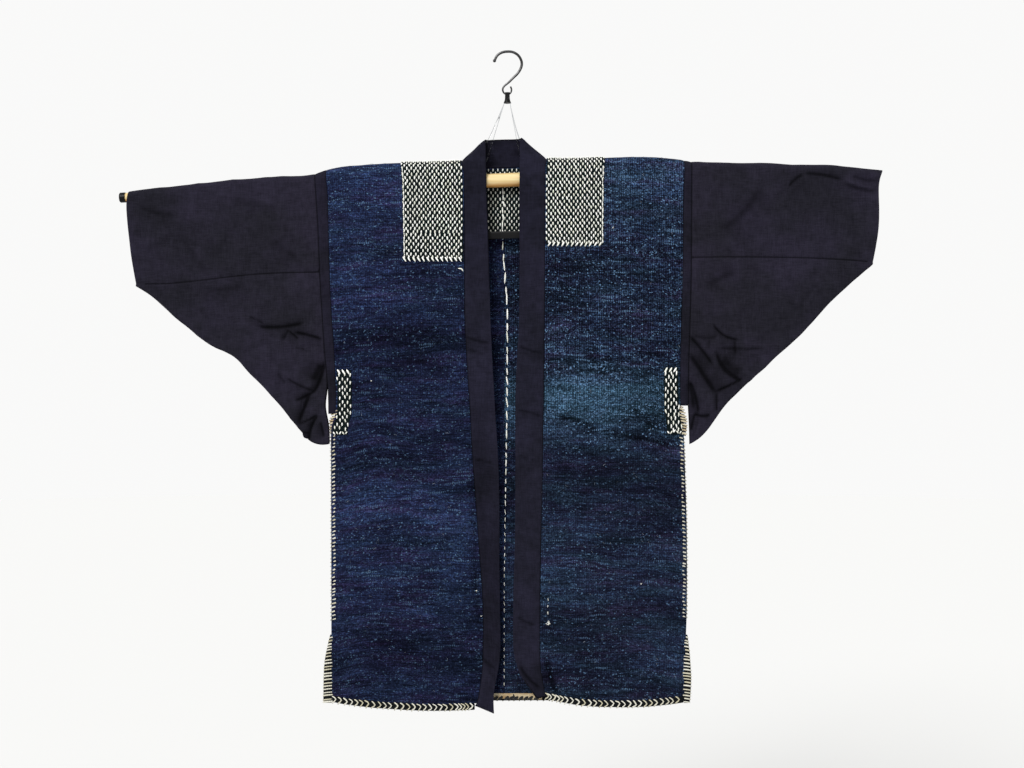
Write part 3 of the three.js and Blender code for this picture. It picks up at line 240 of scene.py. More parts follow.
def patches_free(points):
    return np.ones(len(points), dtype=bool)


CLOTHS = [
    Cloth("body_right", "rag_right", 3, 2.6, (0.315, 1.88), 0.51, ["rod_centre", "rod_arm_right"]),
    Cloth("body_left", "rag_left", 3, 2.6, (0.315, 1.88), 0.51, ["rod_centre", "rod_arm_left"]),
    Cloth("collar", "collar_cotton", 3, 2.7, (0.045, 2.1), 0.088, ["body_right", "body_left"],
          free=collar_free, seam=0.8, rounding=0.42),
    Cloth("armhole_strip_right", "strip_cotton", 3, 1.7, (0.019, 0.84), None, ["body_right"], seam=0.7),
    Cloth("armhole_strip_left", "strip_cotton", 3, 1.7, (0.02, 0.84), None, ["body_left"], seam=0.7),
    Cloth("sleeve_upper_right", "cotton", 3, 1.0, (0.325, 0.37), None, ["rod_arm_right"], free=cuff),
    Cloth("sleeve_upper_left", "cotton", 3, 1.0, (0.325, 0.35), None, ["rod_arm_left"], free=cuff),
    Cloth("sleeve_gusset_right", "cotton", 3, 1.0, (0.33, 0.58), 0.095, ["sleeve_upper_right"], free=cuff),
    Cloth("sleeve_gusset_left", "cotton", 3, 1.0, (0.315, 0.64), 0.098, ["sleeve_upper_left"], free=cuff),
    Cloth("yoke_patch_right", "patch", 2, 1.2, (0.112, 0.39), None, ["body_right"], free=patches_free),
    Cloth("yoke_patch_left", "patch", 2, 1.2, (0.104, 0.36), None, ["body_left"], free=patches_free),
    Cloth("yoke_lining", "patch", 2, 1.0, (0.19, 0.122), None, ["body_right", "body_left"], inward=True),
    Cloth("side_patch_front_right", "patch", 3, 1.2, (0.026, 0.11), None, ["body_right"], free=patches_free),
    Cloth("side_patch_back_right", "patch", 3, 1.2, (0.026, 0.11), None, ["body_right"], free=patches_free),
    Cloth("side_patch_front_left", "patch", 3, 1.2, (0.024, 0.112), None, ["body_left"], free=patches_free),
    Cloth("side_patch_back_left", "patch", 3, 1.2, (0.024, 0.112), None, ["body_left"], free=patches_free),
    Cloth("hem_binding_front_right", "binding", 3, 3.4, (0.012, 0.245), None, ["body_right"], rounding=0.45),
    Cloth("hem_binding_front_left", "binding", 3, 3.4, (0.012, 0.235), None, ["body_left"], rounding=0.45),
    Cloth("hem_binding_back", "binding", 3, 3.4, (0.012, 0.6), None, ["body_right", "body_left"],
          rounding=0.45),
    Cloth("hem_tape_back", "tape", 3, 0.8, (0.0105, 0.127), None, ["body_right", "body_left"], inward=True),
    Cloth("vent_binding_front_right", "binding", 3, 2.0, (0.014, 0.113), 0.0014, ["body_right"]),
    Cloth("vent_binding_back_right", "binding", 3, 2.0, (0.014, 0.113), 0.0014, ["body_right"]),
    Cloth("vent_binding_front_left", "binding", 3, 2.0, (0.014, 0.113), 0.0011, ["body_left"]),
    Cloth("vent_binding_back_left", "binding", 3, 2.0, (0.014, 0.113), 0.0011, ["body_left"]),
]


# Meshes

def corners(node):
    """A node's lowest and highest corners in millimetres."""
    return [np.array(corner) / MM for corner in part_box(node)]


def link(name, mesh):
    piece = bpy.data.objects.new(name, mesh)
    bpy.context.scene.collection.objects.link(piece)
    return piece


def apply_modifiers(piece):
    """Turns a piece's modifiers into its own mesh."""
    depsgraph = bpy.context.evaluated_depsgraph_get()
    mesh = bpy.data.meshes.new_from_object(piece.evaluated_get(depsgraph))
    piece.modifiers.clear()
    old = piece.data
    piece.data = mesh
    mesh.name = piece.name
    bpy.data.meshes.remove(old)


def read_points(mesh):
    """A mesh's points in millimetres."""
    points = np.empty(len(mesh.vertices) * 3)
    mesh.vertices.foreach_get("co", points)
    return points.reshape(-1, 3) / MM


def write_points(mesh, points):
    mesh.vertices.foreach_set("co", (points * MM).ravel())
    mesh.update()


def read_normals(mesh):
    normals = np.empty(len(mesh.vertices) * 3, dtype=np.float32)
    mesh.vertex_normals.foreach_get("vector", normals)
    return normals.reshape(-1, 3).astype(float)


def smooth_shading(mesh, angle=50):
    mesh.polygons.foreach_set("use_smooth", np.ones(len(mesh.polygons), dtype=bool))
    mesh.set_sharp_from_angle(angle=math.radians(angle))


def smooth_regions(bm):
    """Groups of faces that meet at less than the crease angle, the largest first."""
    left = set(bm.faces)
    regions = []
    limit = math.radians(CREASE_ANGLE)
    while left:
        first = left.pop()
        region = [first]
        for face in region:
            for edge in face.edges:
                for other in edge.link_faces:
                    if other in left and face.normal.angle(other.normal) < limit:
                        left.remove(other)
                        region.append(other)
        regions.append(region)
    return sorted(regions, key=lambda region: -sum(face.calc_area() for face in region))


def facing_out(face):
    side = 1 if face.calc_center_median().y > 0 else -1
    return face.normal.y * side * face.calc_area()


def facing_front(face):
    return -face.normal.y * face.calc_area()


def shared_corners(node):
    """A node's mesh with its split corners joined again."""
    bm = bmesh.new()
    bm.from_mesh(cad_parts[node].data)
    bmesh.ops.remove_doubles(bm, verts=bm.verts, dist=1e-6)
    bm.normal_update()
    return bm


def join_to_quads(bm):
    bmesh.ops.join_triangles(
        bm, faces=bm.faces, angle_face_threshold=math.radians(40), angle_shape_threshold=math.radians(80))


def broad_side(cloth):
    """The side of a cloth's solid that shows, as one open mesh of quads."""
    bm = shared_corners(cloth.node)
    measure = facing_front if cloth.inward else facing_out
    sides = smooth_regions(bm)[:2]
    kept = set(max(sides, key=lambda region: sum(measure(face) for face in region)))
    bmesh.ops.delete(bm, geom=[face for face in bm.faces if face not in kept], context="FACES")
    join_to_quads(bm)
    mesh = bpy.data.meshes.new(cloth.node)
    bm.to_mesh(mesh)
    bm.free()
    return mesh


def subdivide(piece, levels, boundary="PRESERVE_CORNERS"):
    modifier = piece.modifiers.new("fine", "SUBSURF")
    modifier.levels = levels
    modifier.render_levels = levels
    modifier.boundary_smooth = boundary
    apply_modifiers(piece)


# The form of the cloth

def waves(points, seed, length, count=14):
    """A smooth uneven field of about -1 to 1, its waves of around the given length."""
    rng = np.random.default_rng(seed)
    direction = rng.normal(size=(count, 3))
    direction /= np.linalg.norm(direction, axis=1)[:, None]
    number = 2 * math.pi / (length * rng.uniform(0.6, 1.7, count))
    phase = rng.uniform(0, 2 * math.pi, count)
    return np.sin(points @ (direction * number[:, None]).T + phase).sum(1) / math.sqrt(count)


def ridges(points, seed, length):
    """Like waves, with narrow crests and wide soft troughs between them."""
    bent = points + 0.35 * length * np.stack(
        [waves(points, seed + 1, 1.8 * length), waves(points, seed + 2, 1.8 * length),
         waves(points, seed + 3, 1.8 * length)], axis=1)
    return 1 - np.abs(waves(bent, seed, length)) * 1.6


def bell(distance, width):
    return np.exp(-(distance / width) ** 2)


def crease_facts(points):
    """How far the creases lift each point along the cloth's normal, and how deep it lies in their shadow."""
    face = np.where(points[:, 1] > 0, BACK, FRONT)
    x = points[:, 0]
    z = points[:, 2]
    lift = np.zeros(len(points))
    shade = np.zeros(len(points))
    for side, x1, z1, x2, z2, width, height, bow in CREASES:
        length = math.hypot(x2 - x1, z2 - z1)
        along = ((x - x1) * (x2 - x1) + (z - z1) * (z2 - z1)) / length ** 2
        across = ((x - x1) * (z2 - z1) - (z - z1) * (x2 - x1)) / length
        inside = np.clip(along, 0, 1)
        across = across - bow * np.sin(math.pi * inside)
        taper = np.clip(np.minimum(along, 1 - along) / 0.2, 0, 1)
        taper = taper * taper * (3 - 2 * taper)
        sharp = bell(across, 0.5 * width)
        soft = bell(across - 0.8 * width, 1.5 * width)
        beside = bell(across - 2 * width, 1.2 * width)
        profile = 0.6 * sharp + 0.4 * bell(across, 1.3 * width) - 0.45 * beside
        lift += np.where(face == side, height * taper * profile, 0)
        # Painted shade in a trough and beside a ridge; the negative share on a ridge's top is a painted
        # highlight.
        dark = sharp + 0.4 * soft if height < 0 else 0.7 * bell(across - width, 0.6 * width) - 0.35 * sharp
        shade += np.where(face == side, min(1, abs(height) / 3) * taper * dark, 0)
    return lift, shade


def worn_facts(points):
    """How much lighter the weave is at each point."""
    face = np.where(points[:, 1] > 0, BACK, FRONT)
    lighter = np.zeros(len(points))
    for side, x, z, width, height, amount in WORN:
        near = bell(points[:, 0] - x, width) * bell(points[:, 2] - z, height)
        lighter += np.where(face == side, amount * near, 0)
    return lighter


def refine_creases(mesh):
    """Cuts the faces along the creases finer, so that a crease can be as narrow as it is drawn."""
    points = read_points(mesh)
    _, shade = crease_facts(points)
    near = np.abs(shade) > CREASE_NEAR
    bm = bmesh.new()
    bm.from_mesh(mesh)
    edges = [edge for edge in bm.edges
             if any(near[point.index] for point in edge.verts) and edge.calc_length() > CREASE_EDGE * MM]
    bmesh.ops.subdivide_edges(bm, edges=edges, cuts=1, use_grid_fill=True)
    bm.to_mesh(mesh)
    bm.free()


def cloth_lift(points, kind):
    """The slow unevenness of hung cloth. Pieces that lie on each other share it."""
    stretched = points * np.array([1, 1, 1.6])
    lift = 0.8 * waves(stretched, 11, 190) + 0.3 * waves(stretched, 12, 62)
    if kind.endswith("cotton"):
        slanted = points @ np.array([[1, 0, 0.35], [0, 1, 0], [-0.2, 0, 0.6]])
        return lift + 0.42 * ridges(slanted, 21, 74) + 0.12 * waves(points, 22, 19)
    rows = points * np.array([0.35, 1, 1])
    return lift + 0.12 * waves(rows, 31, 13) + 0.1 * waves(points, 32, 24)


def edge_facts(mesh, points, free):
    """The mesh's border points, and the way out of the cloth at each of them."""
    bm = bmesh.new()
    bm.from_mesh(mesh)
    outward = np.zeros((len(points), 3))
    for edge in bm.edges:
        if not edge.is_boundary:
            continue
        face = edge.link_faces[0]
        middle = (edge.verts[0].co + edge.verts[1].co) / 2
        along = (edge.verts[1].co - edge.verts[0].co).normalized()
        way = along.cross(face.normal)
        if way.dot(middle - face.calc_center_median()) < 0:
            way = -way
        for vert in edge.verts:
            outward[vert.index] += np.array(way)
    bm.free()
    length = np.linalg.norm(outward, axis=1)
    border = np.nonzero(length > 0)[0]
    outward[border] /= length[border][:, None]
    sewn = border[~free(points[border])]
    return border, sewn, outward


def distance_to(points, chosen, reach):
    """How far each point lies from the nearest chosen one, up to reach."""
    distance = np.full(len(points), float(reach))
    if len(chosen) == 0:
        return distance
    tree = KDTree(len(chosen))
    for index in chosen:
        tree.insert(points[index], int(index))
    tree.balance()
    for index, point in enumerate(points):
        distance[index] = min(reach, tree.find(point)[2])
    return distance


def store_cloth_place(mesh, points):
    """Cloth coordinates for the weave, in metres: across, along over the shoulder, and through."""
    place = np.stack([points[:, 0], points[:, 2] - np.abs(points[:, 1]), points[:, 1]], axis=1) * MM
    layer = mesh.attributes.new("cloth", "FLOAT_VECTOR", "POINT")
    layer.data.foreach_set("vector", place.ravel())


def store_value(mesh, name, values):
    layer = mesh.attributes.new(name, "FLOAT", "POINT")
    layer.data.foreach_set("value", values)


outer_trees = {}


def remember_surface(name, mesh):
    corners = [vertex.co.copy() for vertex in mesh.vertices]
    outer_trees[name] = BVHTree.FromPolygons(corners, [list(face.vertices) for face in mesh.polygons])


def make_cloth(cloth):
    """A cut piece as a thin shell, grown inward from the side of its solid that shows."""
    piece = link("cloth_" + cloth.node, broad_side(cloth))
    subdivide(piece, cloth.levels)
    mesh = piece.data
    if cloth.kind.endswith("cotton"):
        refine_creases(mesh)
    points = read_points(mesh)
    normals = read_normals(mesh)
    border, sewn, outward = edge_facts(mesh, points, cloth.free)
    nearness = distance_to(points, sewn, SEAM_REACH)
    store_cloth_place(mesh, points)
    store_value(mesh, "nearness", 1 - nearness / SEAM_REACH)
    lift, shade = crease_facts(points)
    # The creases' painted shade and painted highlight, which the materials darken and lighten by.
    store_value(mesh, "crease_shade", shade)
    store_value(mesh, "worn", worn_facts(points))
    lift += cloth_lift(points, cloth.kind)
    lift -= cloth.seam * bell(nearness, SEAM_WIDTH)
    lift += 0.3 * cloth.seam * waves(points, 41, PUCKER_LENGTH) * bell(nearness, PUCKER_REACH)
    if cloth.free is patches_free:
        sink, width = PATCH_EDGE
        lift -= sink * bell(distance_to(points, border, SEAM_REACH), width)
    points = points + normals * lift[:, None]
    points[border] += outward[border] * cloth.grow
    write_points(mesh, points)
    remember_surface(cloth.node, mesh)
    thicken(piece, cloth)
    dress(piece, cloth.kind)
    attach(piece, "root")
    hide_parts(cloth.node)
    return piece


def thicken(piece, cloth):
    modifier = piece.modifiers.new("thick", "SOLIDIFY")
    modifier.thickness = cloth.thickness * MM
    modifier.offset = -1
    modifier.use_even_offset = False
    rounding = piece.modifiers.new("round", "BEVEL")
    rounding.width = cloth.rounding * cloth.thickness * MM
    rounding.segments = 2
    rounding.limit_method = "ANGLE"
    rounding.angle_limit = math.radians(CREASE_ANGLE)
    apply_modifiers(piece)
    smooth_shading(piece.data, 60)


# Threads: closed tubes swept along short paths

def sweep(name, paths, up, width, height, sides=5):
    """A mesh of many small threads. paths has a row of points for each thread, up is each thread's own way
    off the cloth, and width and height give its section at each point."""
    count, steps = paths.shape[:2]
    tangent = np.gradient(paths, axis=1)
    tangent /= np.maximum(np.linalg.norm(tangent, axis=2), 1e-9)[:, :, None]
    lifted = np.broadcast_to(up, paths.shape) if up.ndim == 3 else np.repeat(up[:, None], steps, axis=1)
    across = np.cross(tangent, lifted)
    across /= np.maximum(np.linalg.norm(across, axis=2), 1e-9)[:, :, None]
    over = np.cross(across, tangent)
    angles = 2 * math.pi * np.arange(sides) / sides
    ring = (across[:, :, None] * (np.cos(angles)[:, None] * (width / 2)[:, :, None, None])
            + over[:, :, None] * (np.sin(angles)[:, None] * (height / 2)[:, :, None, None]))
    points = (paths[:, :, None] + ring).reshape(-1, 3)
    corner = np.arange(sides)
    after = (corner + 1) % sides
    walls = []
    for step in range(steps - 1):
        low = step * sides
        high = low + sides
        walls.append(np.stack([low + corner, low + after, high + after, high + corner], axis=1))
    walls = np.concatenate(walls)
    starts = np.arange(count)[:, None, None] * steps * sides
    quads = (walls[None] + starts).reshape(-1, 4)
    first = (corner[::-1][None] + starts[:, 0]).reshape(-1, sides)
    last = (corner[None] + (steps - 1) * sides + starts[:, 0]).reshape(-1, sides)
    mesh = bpy.data.meshes.new(name)
    mesh.from_pydata((points * MM).tolist(), [], quads.tolist() + first.tolist() + last.tolist())
    tone = np.random.default_rng(len(name)).random(count)
    store_value(mesh, "tone", np.repeat(tone, steps * sides))
    along = np.repeat(np.arange(steps) / (steps - 1), sides)
    store_value(mesh, "along", np.tile(along, count))
    mesh.update()
    smooth_shading(mesh, 75)
    return mesh


def add_threads(name, paths, up, width, height, kind, sides=5):
    paths, up, width, height = (np.array(values, dtype=float) for values in (paths, up, width, height))
    piece = link(name, sweep(name, paths, up, width, height, sides))
    dress(piece, kind)
    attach(piece, "root")
    return piece


def cast(nodes, origin, way, reach=400):
    """The first place where a ray meets any of the named cloths. Millimetres in and out."""
    best = None
    for node in nodes:
        place, normal, _, distance = outer_trees[node].ray_cast(
            Vector(origin) * MM, Vector(way), reach * MM)
        if place is not None and (best is None or distance < best[2]):
            best = (np.array(place) / MM, np.array(normal), distance)
    return None if best is None else best[:2]


def on_face(nodes, x, z, face):
    """The place on the front or back of the named cloths, and the way off it."""
    hit = cast(nodes, (x, face * 100, z), (0, -face, 0))
    if hit is None:
        return None
    place, normal = hit
    return place, normal if normal[1] * face > 0 else -normal


def edge_at(nodes, z, face, inside, outside):
    """How far out a cloth reaches at a height, between a place on it and one off it."""
    for _ in range(14):
        middle = (inside + outside) / 2
        if on_face(nodes, middle, z, face) is None:
            outside = middle
        else:
            inside = middle
    return inside


STITCH_SHAPE = np.array([0.42, 0.86, 1.0, 0.9, 0.45])
STITCH_SINK = np.array([-0.75, 0.1, 0.42, 0.1, -0.75])


def grain_path(centre, way, up, length):
    """A stitch as it shows on the cloth: rounded, with both ends going in."""
    places = np.linspace(-0.5, 0.5, 5)[:, None] * length
    return centre + places * way + STITCH_SINK[:, None] * up


class Stitches:
    """Collects the stitches of one piece."""

    def __init__(self):
        self.paths = []
        self.up = []
        self.width = []
        self.height = []

    def add(self, centre, way, up, length, width, height=1.5):
        self.paths.append(grain_path(centre, way, up, length))
        self.up.append(up)
        self.width.append(STITCH_SHAPE * width)
        self.height.append(STITCH_SHAPE * height)

    def lay(self, here, off, way, length, width):
        """Adds a stitch at a place found on a cloth, a little way off it."""
        place, normal = here
        self.add(place + normal * off, way, normal, length, width)

    def make(self, name, kind="white_thread"):
        return add_threads(name, self.paths, self.up, self.width, self.height, kind)


def unit(vector):
    return vector / max(np.linalg.norm(vector), 1e-9)


# Stitched patches

# Stitches as ranges of their length and width
YOKE_STITCH = ((5.4, 6.6), (2.25, 2.9))
YOKE_FOOT_STITCH = ((8.6, 10.0), (2.6, 3.1))
LINING_STITCH = ((4.8, 6.0), (1.9, 2.45))
YOKE_ROW = 5.5
YOKE_COLUMN = 8.0
YOKE_INSET = 1.5
YOKE_MARGIN = 1.2
STITCH_SLANT = 0.62            # of a slanted stitch to the side, for each upright one
FOLD_RADIUS = 18.0
SIDE_COLUMN = 4.55
SIDE_ROW = 12.9
SIDE_LENGTH = {-1: 6.3, 1: 7.6}


def drawn(rng, ranges):
    """One random number from each range."""
    return [rng.uniform(*limits) for limits in ranges]


class WrappedPatch:
    """Finds places on a patch that goes up the front, over the shoulder and down the back. A row is known by
    its part of that way and its share of the part."""

    def __init__(self, node):
        self.node = node
        self.low, self.high = corners(node)
        self.foot = self.low[2]
        self.flat = self.high[2] - FOLD_RADIUS - self.foot

    def ray(self, x, part, share):
        fold_height = self.foot + self.flat
        if part == "over":
            angle = math.pi * share
            way = np.array([0, -math.cos(angle), math.sin(angle)])
            return np.array([x, 0, fold_height]) + 90 * way, -way
        face = FRONT if part == "front" else BACK
        down = 1 - share if part == "front" else share
        return np.array([x, face * 100, fold_height - self.flat * down]), np.array([0, -face, 0])

    def rows(self):
        flat = round(self.flat / YOKE_ROW)
        over = round(math.pi * FOLD_RADIUS / YOKE_ROW)
        rows = [("front", (k + 1.15) / (flat + 0.6)) for k in range(flat)]
        rows += [("over", (k + 0.5) / over) for k in range(over)]
        rows += [("back", (k + 0.5) / (flat + 0.6)) for k in range(flat)]
        return rows

    def hit(self, x, part, share):
        origin, way = self.ray(x, part, share)
        found = cast([self.node], origin, way)
        if found is None:
            return None
        place, normal = found
        return place, normal if np.dot(normal, way) < 0 else -normal

    def reach(self, part, share):
        """How far the patch goes to each side in a row."""
        ends = []
        for outside in (self.low[0] - 3, self.high[0] + 3):
            inside = (self.low[0] + self.high[0]) / 2
            for _ in range(11):
                trial = (inside + outside) / 2
                if self.hit(trial, part, share) is None:
                    outside = trial
                else:
                    inside = trial
            ends.append(inside)
        return ends


def lay_yoke_row(stitches, rng, patch, number, row, seam_side):
    """One row of a brick pattern, each stitch along the cloth wherever it turns."""
    part, share = row
    left, right = patch.reach(*row)
    columns = max(2, round((right - left) / YOKE_COLUMN))
    pitch = (right - left - 2 * YOKE_INSET) / columns
    step = 0.05 if part == "over" else 0.02
    for column in range(columns + (number % 2 == 0)):
        x = left + YOKE_INSET + pitch * (column + (0.5 if number % 2 else 0.0)) + rng.normal(0, 0.35)
        x = min(max(x, left + YOKE_MARGIN), right - YOKE_MARGIN)
        here = patch.hit(x, *row)
        near = patch.hit(x, part, min(share + step, 1))
        far = patch.hit(x, part, max(share - step, 0))
        if here is None or near is None or far is None:
            continue
        place, normal = here
        way = unit(near[0] - far[0])
        side = unit(np.cross(way, normal))
        way = unit(way + side * rng.normal(0.06 * seam_side, 0.12))
        stitches.add(place + normal * 0.25 + way * rng.normal(0, 0.35), way, normal,
                     *drawn(rng, YOKE_STITCH))


def lay_yoke_foot(stitches, rng, patch, face, seam_side):
    """A slanted row at the foot of one face."""
    share = 0.5 * YOKE_ROW / patch.flat
    row = ("front", share) if face == FRONT else ("back", 1 - share)
    left, right = patch.reach(*row)
    for x in np.arange(left + 2, right - 1, YOKE_COLUMN * 0.98):
        here = patch.hit(x + rng.normal(0, 0.3), *row)
        if here is None:
            continue
        way = unit(np.array([-seam_side * STITCH_SLANT, 0, 1.0]) + rng.normal(0, 0.06, 3) * [1, 0, 1])
        stitches.lay(here, 0.3, way, *drawn(rng, YOKE_FOOT_STITCH))


def stitch_yoke(node, seam_side, seed):
    """Rows of short stitches over the shoulder, with a slanted row at each foot."""
    rng = np.random.default_rng(seed)
    patch = WrappedPatch(node)
    stitches = Stitches()
    for number, row in enumerate(patch.rows()):
        lay_yoke_row(stitches, rng, patch, number, row, seam_side)
    for face in (FRONT, BACK):
        lay_yoke_foot(stitches, rng, patch, face, seam_side)
    return stitches.make("stitches_" + node)


def stitch_side_patch(node, face, sign, seed):
    """Upright stitches in staggered columns, with a slanted row on top and a crossed one at the foot."""
    rng = np.random.default_rng(seed)
    low, high = corners(node)
    stitches = Stitches()
    length = SIDE_LENGTH[sign]
    columns = round((high[0] - low[0] - 5) / SIDE_COLUMN) + 1
    top = high[2] - 9
    bottom = low[2] + 6
    for column in range(columns):
        x0 = low[0] + 3 + column * SIDE_COLUMN
        count = int((top - bottom) / SIDE_ROW)
        for row in range(count + 1):
            z = top - (row + 0.5 * (column % 2)) * SIDE_ROW + rng.normal(0, 0.7)
            here = on_face([node], x0 + rng.normal(0, 0.6), z, face)
            if here is None or z < bottom:
                continue
            way = unit(np.array([rng.normal(0, 0.12), 0, 1.0]))
            stitches.lay(here, 0.3, way, length * rng.uniform(0.93, 1.07), rng.uniform(2.1, 2.6))
    for x in np.arange(low[0] + 3, high[0] - 2, 7.8):
        here = on_face([node], x, high[2] - 3.5, face)
        if here is not None:
            way = unit(np.array([STITCH_SLANT * sign, 0, 1.0]))
            stitches.lay(here, 0.3, way, 9.4, 3.2)
    for x in np.arange(low[0] + 2.5, high[0] - 1, 5.2):
        here = on_face([node], x, low[2] + 3 + rng.normal(0, 0.6), face)
        if here is not None:
            way = unit(np.array([0.7 * rng.choice([-1, 1]), 0, 1.0]))
            stitches.lay(here, 0.4, way, rng.uniform(4.6, 6.4), 2.4)
    return stitches.make("stitches_" + node)


def stitch_lining():
    """The inside of the yoke, behind the neck, in the same brick pattern."""
    rng = np.random.default_rng(77)
    node = "yoke_lining"
    low, high = corners(node)
    stitches = Stitches()
    rows = int((high[2] - low[2] - 6) / YOKE_ROW)
    for row in range(rows):
        z = high[2] - 4 - row * YOKE_ROW
        for x in np.arange(low[0] + 3 + (row % 2) * YOKE_COLUMN / 2, high[0] - 2, YOKE_COLUMN):
            here = on_face([node], x + rng.normal(0, 0.3), z, FRONT)
            if here is None:
                continue
            way = unit(np.array([rng.normal(0.05, 0.1), 0, 1.0]))
            stitches.lay(here, 0.25, way, *drawn(rng, LINING_STITCH))
    return stitches.make("stitches_yoke_lining")


# Overcast edges

LOOP_UPS = np.array([[0, -1, 0], [0, -1, 0], [0.5, -0.8, 0], [1, 0, 0], [0.5, 0.8, 0], [0, 1, 0], [0, 1, 0]])
LOOP_SHAPE = np.array([0.52, 0.85, 1, 1, 1, 0.85, 0.52])
OVERCAST_TOP = {"right": -622, "left": -612}
OVERCAST_FOOT = -975
OVERCAST_PITCH = 6.5
VENT_PITCH = 5.5
# The tan stitches. Columns: top, foot, how far from the middle they start, and how far they reach.
TAN_PLACES = {"right": (-607, -652, 284, 303.5), "left": (-604, -654, 291, 308)}
TAN_PITCH = 5.0


class Loops:
    """Collects threads that go from the front of a cloth round its edge to the back."""

    def __init__(self, node, sign):
        self.node = node
        self.sign = sign
        self.paths = []
        self.width = []

    def add(self, start_x, start_z, edge_x, edge_z, width):
        front = on_face([self.node], start_x, start_z, FRONT)
        back = on_face([self.node], start_x, start_z, BACK)
        if front is None or back is None:
            return
        front = front[0]
        back = back[0]
        edge = np.array([edge_x, 0, edge_z])
        self.paths.append([
            front + [0, 0.6, 0], front - [0, 0.35, 0], (front + edge) / 2 - [0, 0.9, 0], edge,
            (back + edge) / 2 + [0, 0.9, 0], back + [0, 0.35, 0], back - [0, 0.6, 0]])
        self.width.append(width)

    def make(self, name, kind):
        width = np.outer(self.width, LOOP_SHAPE)
        ups = np.repeat([LOOP_UPS * [self.sign, 1, 1]], len(self.paths), axis=0)
        return add_threads(name, self.paths, ups, width, 0.62 * width, kind)


def overcast_side(side, sign, seed):
    """Short slanted threads that join the front to the back, from the armhole's foot to the vent."""
    rng = np.random.default_rng(seed)
    node = "body_" + side
    loops = Loops(node, sign)
    top = OVERCAST_TOP[side]
    for number in range(int((top - OVERCAST_FOOT) / OVERCAST_PITCH)):
        z = top - number * OVERCAST_PITCH + rng.normal(0, 0.6)
        edge_x = edge_at([node], z, FRONT, sign * 240, sign * 335)
        inset = rng.uniform(6.0, 8.4)
        loops.add(edge_x - sign * inset, z + 1.6, edge_x + sign * 1.3, z - 1.4, rng.uniform(2.2, 3.0))
    return loops.make("overcast_side_" + side, "cream_thread")


def tan_stitches(side, sign):
    """Close, tan threads under the end of the armhole strip, fanned out past the cloth's edge."""
    rng = np.random.default_rng(5)
    loops = Loops("body_" + side, sign)
    # Near-black loops between the tan ones: the body's edge showing through, painted darker than its own
    # indigo as shade.
    between = Loops("body_" + side, sign)
    top, foot, start, reach = TAN_PLACES[side]
    count = int((top - foot) / TAN_PITCH)
    for number in range(count):
        z = top - number * TAN_PITCH + rng.normal(0, 0.4)
        bulge = math.sin(math.pi * min(1, (number + 1) / (0.7 * count)) / 2)
        taper = 1 - 0.5 * max(0, number / count - 0.6)
        edge = start + 8 + (reach - start - 8) * bulge * taper
        begin = start + rng.uniform(-1.5, 2.5)
        loops.add(sign * begin, z + rng.uniform(1.0, 2.6), sign * edge, z - rng.uniform(0.8, 2.0),
                  rng.uniform(2.2, 2.9))
        between.add(sign * begin, z + rng.uniform(1.0, 2.6) - TAN_PITCH / 2, sign * (edge - 1.6),
                    z - rng.uniform(0.8, 2.0) - TAN_PITCH / 2, rng.uniform(2.2, 3.0))
    between.make("edge_between_tan_stitches_" + side, "dark_thread")
    return loops.make("tan_stitches_" + side, "tan_thread")


def vent_path(start, middle, start_x, edge_x, z, face, sign):
    """One thread from the body to the vent's edge and round it."""
    surface = middle[1]
    depth = surface - face * 2.4
    return [start - [0, face * 0.5, 0], start + [0, face * 0.5, 0], middle + [0, face * 0.7, 0],
            np.array([edge_x, surface + face * 0.35, z - 0.9]),
            np.array([edge_x + sign * 0.8, surface - face * 0.9, z - 1.2]),
            np.array([edge_x - sign * 0.5, depth - face * 0.4, z - 1.4]),
            np.array([start_x + sign * 1.5, depth - face * 0.2, z - 1.8])]


def vent_paths(side, face, sign, rng):
    """The threads of one vent edge, longer towards its foot."""
    name = "front" if face == FRONT else "back"
    nodes = ["vent_binding_" + name + "_" + side]
    hem_name = "hem_binding_front_" + side if face == FRONT else "hem_binding_back"
    inner = ["body_" + side, hem_name]
    low, high = corners(nodes[0])
    paths = []
    for number in range(int((high[2] - low[2] - 2) / VENT_PITCH) + 1):
        z = high[2] - 3 - number * VENT_PITCH + rng.normal(0, 0.5)
        known = [x for x in np.linspace(low[0], high[0], 25) if on_face(nodes, x, z, face) is not None]
        if not known:
            continue
        edge_x = max(known, key=lambda x: sign * x)
        start_x = min(known, key=lambda x: sign * x) - sign * rng.uniform(-0.6, 2.6)
        start = on_face(inner + nodes, start_x, z + 0.8, face)
        middle = on_face(nodes + inner, (start_x + edge_x) / 2, z + 0.2, face)
        if start is not None and middle is not None:
            paths.append(vent_path(start[0], middle[0], start_x, edge_x, z, face, sign))
    return paths


def overcast_vent(side, sign):
    """Wide flat threads round the vent's edges."""
    rng = np.random.default_rng(8 if side == "right" else 9)
    paths = []
    ups = []
    for face in (FRONT, BACK):
        found = vent_paths(side, face, sign, rng)
        paths += found
        ups += [[[0, face, 0], [0, face, 0], [0, face, 0], [sign * 0.6, face * 0.6, 0], [sign, 0, 0],
                 [sign * 0.4, -face * 0.8, 0], [0, -face, 0]]] * len(found)
    width = np.outer(rng.uniform(1.7, 2.7, len(paths)), [0.5, 0.85, 1, 1, 1, 0.9, 0.65])
    return add_threads("overcast_vent_" + side, paths, ups, width, 0.5 * width, "cream_thread", 8)


def hem_place(node, face, x, z, bottom, top, lift):
    """A place on the hem's edge, kept between its foot and its top."""
    found = on_face([node], x, min(max(z, bottom + 0.8), top - 0.8), face)
    if found is None:
        return np.array([x, face * 13.5, z])
    return np.array([found[0][0], found[0][1] + face * lift, z])


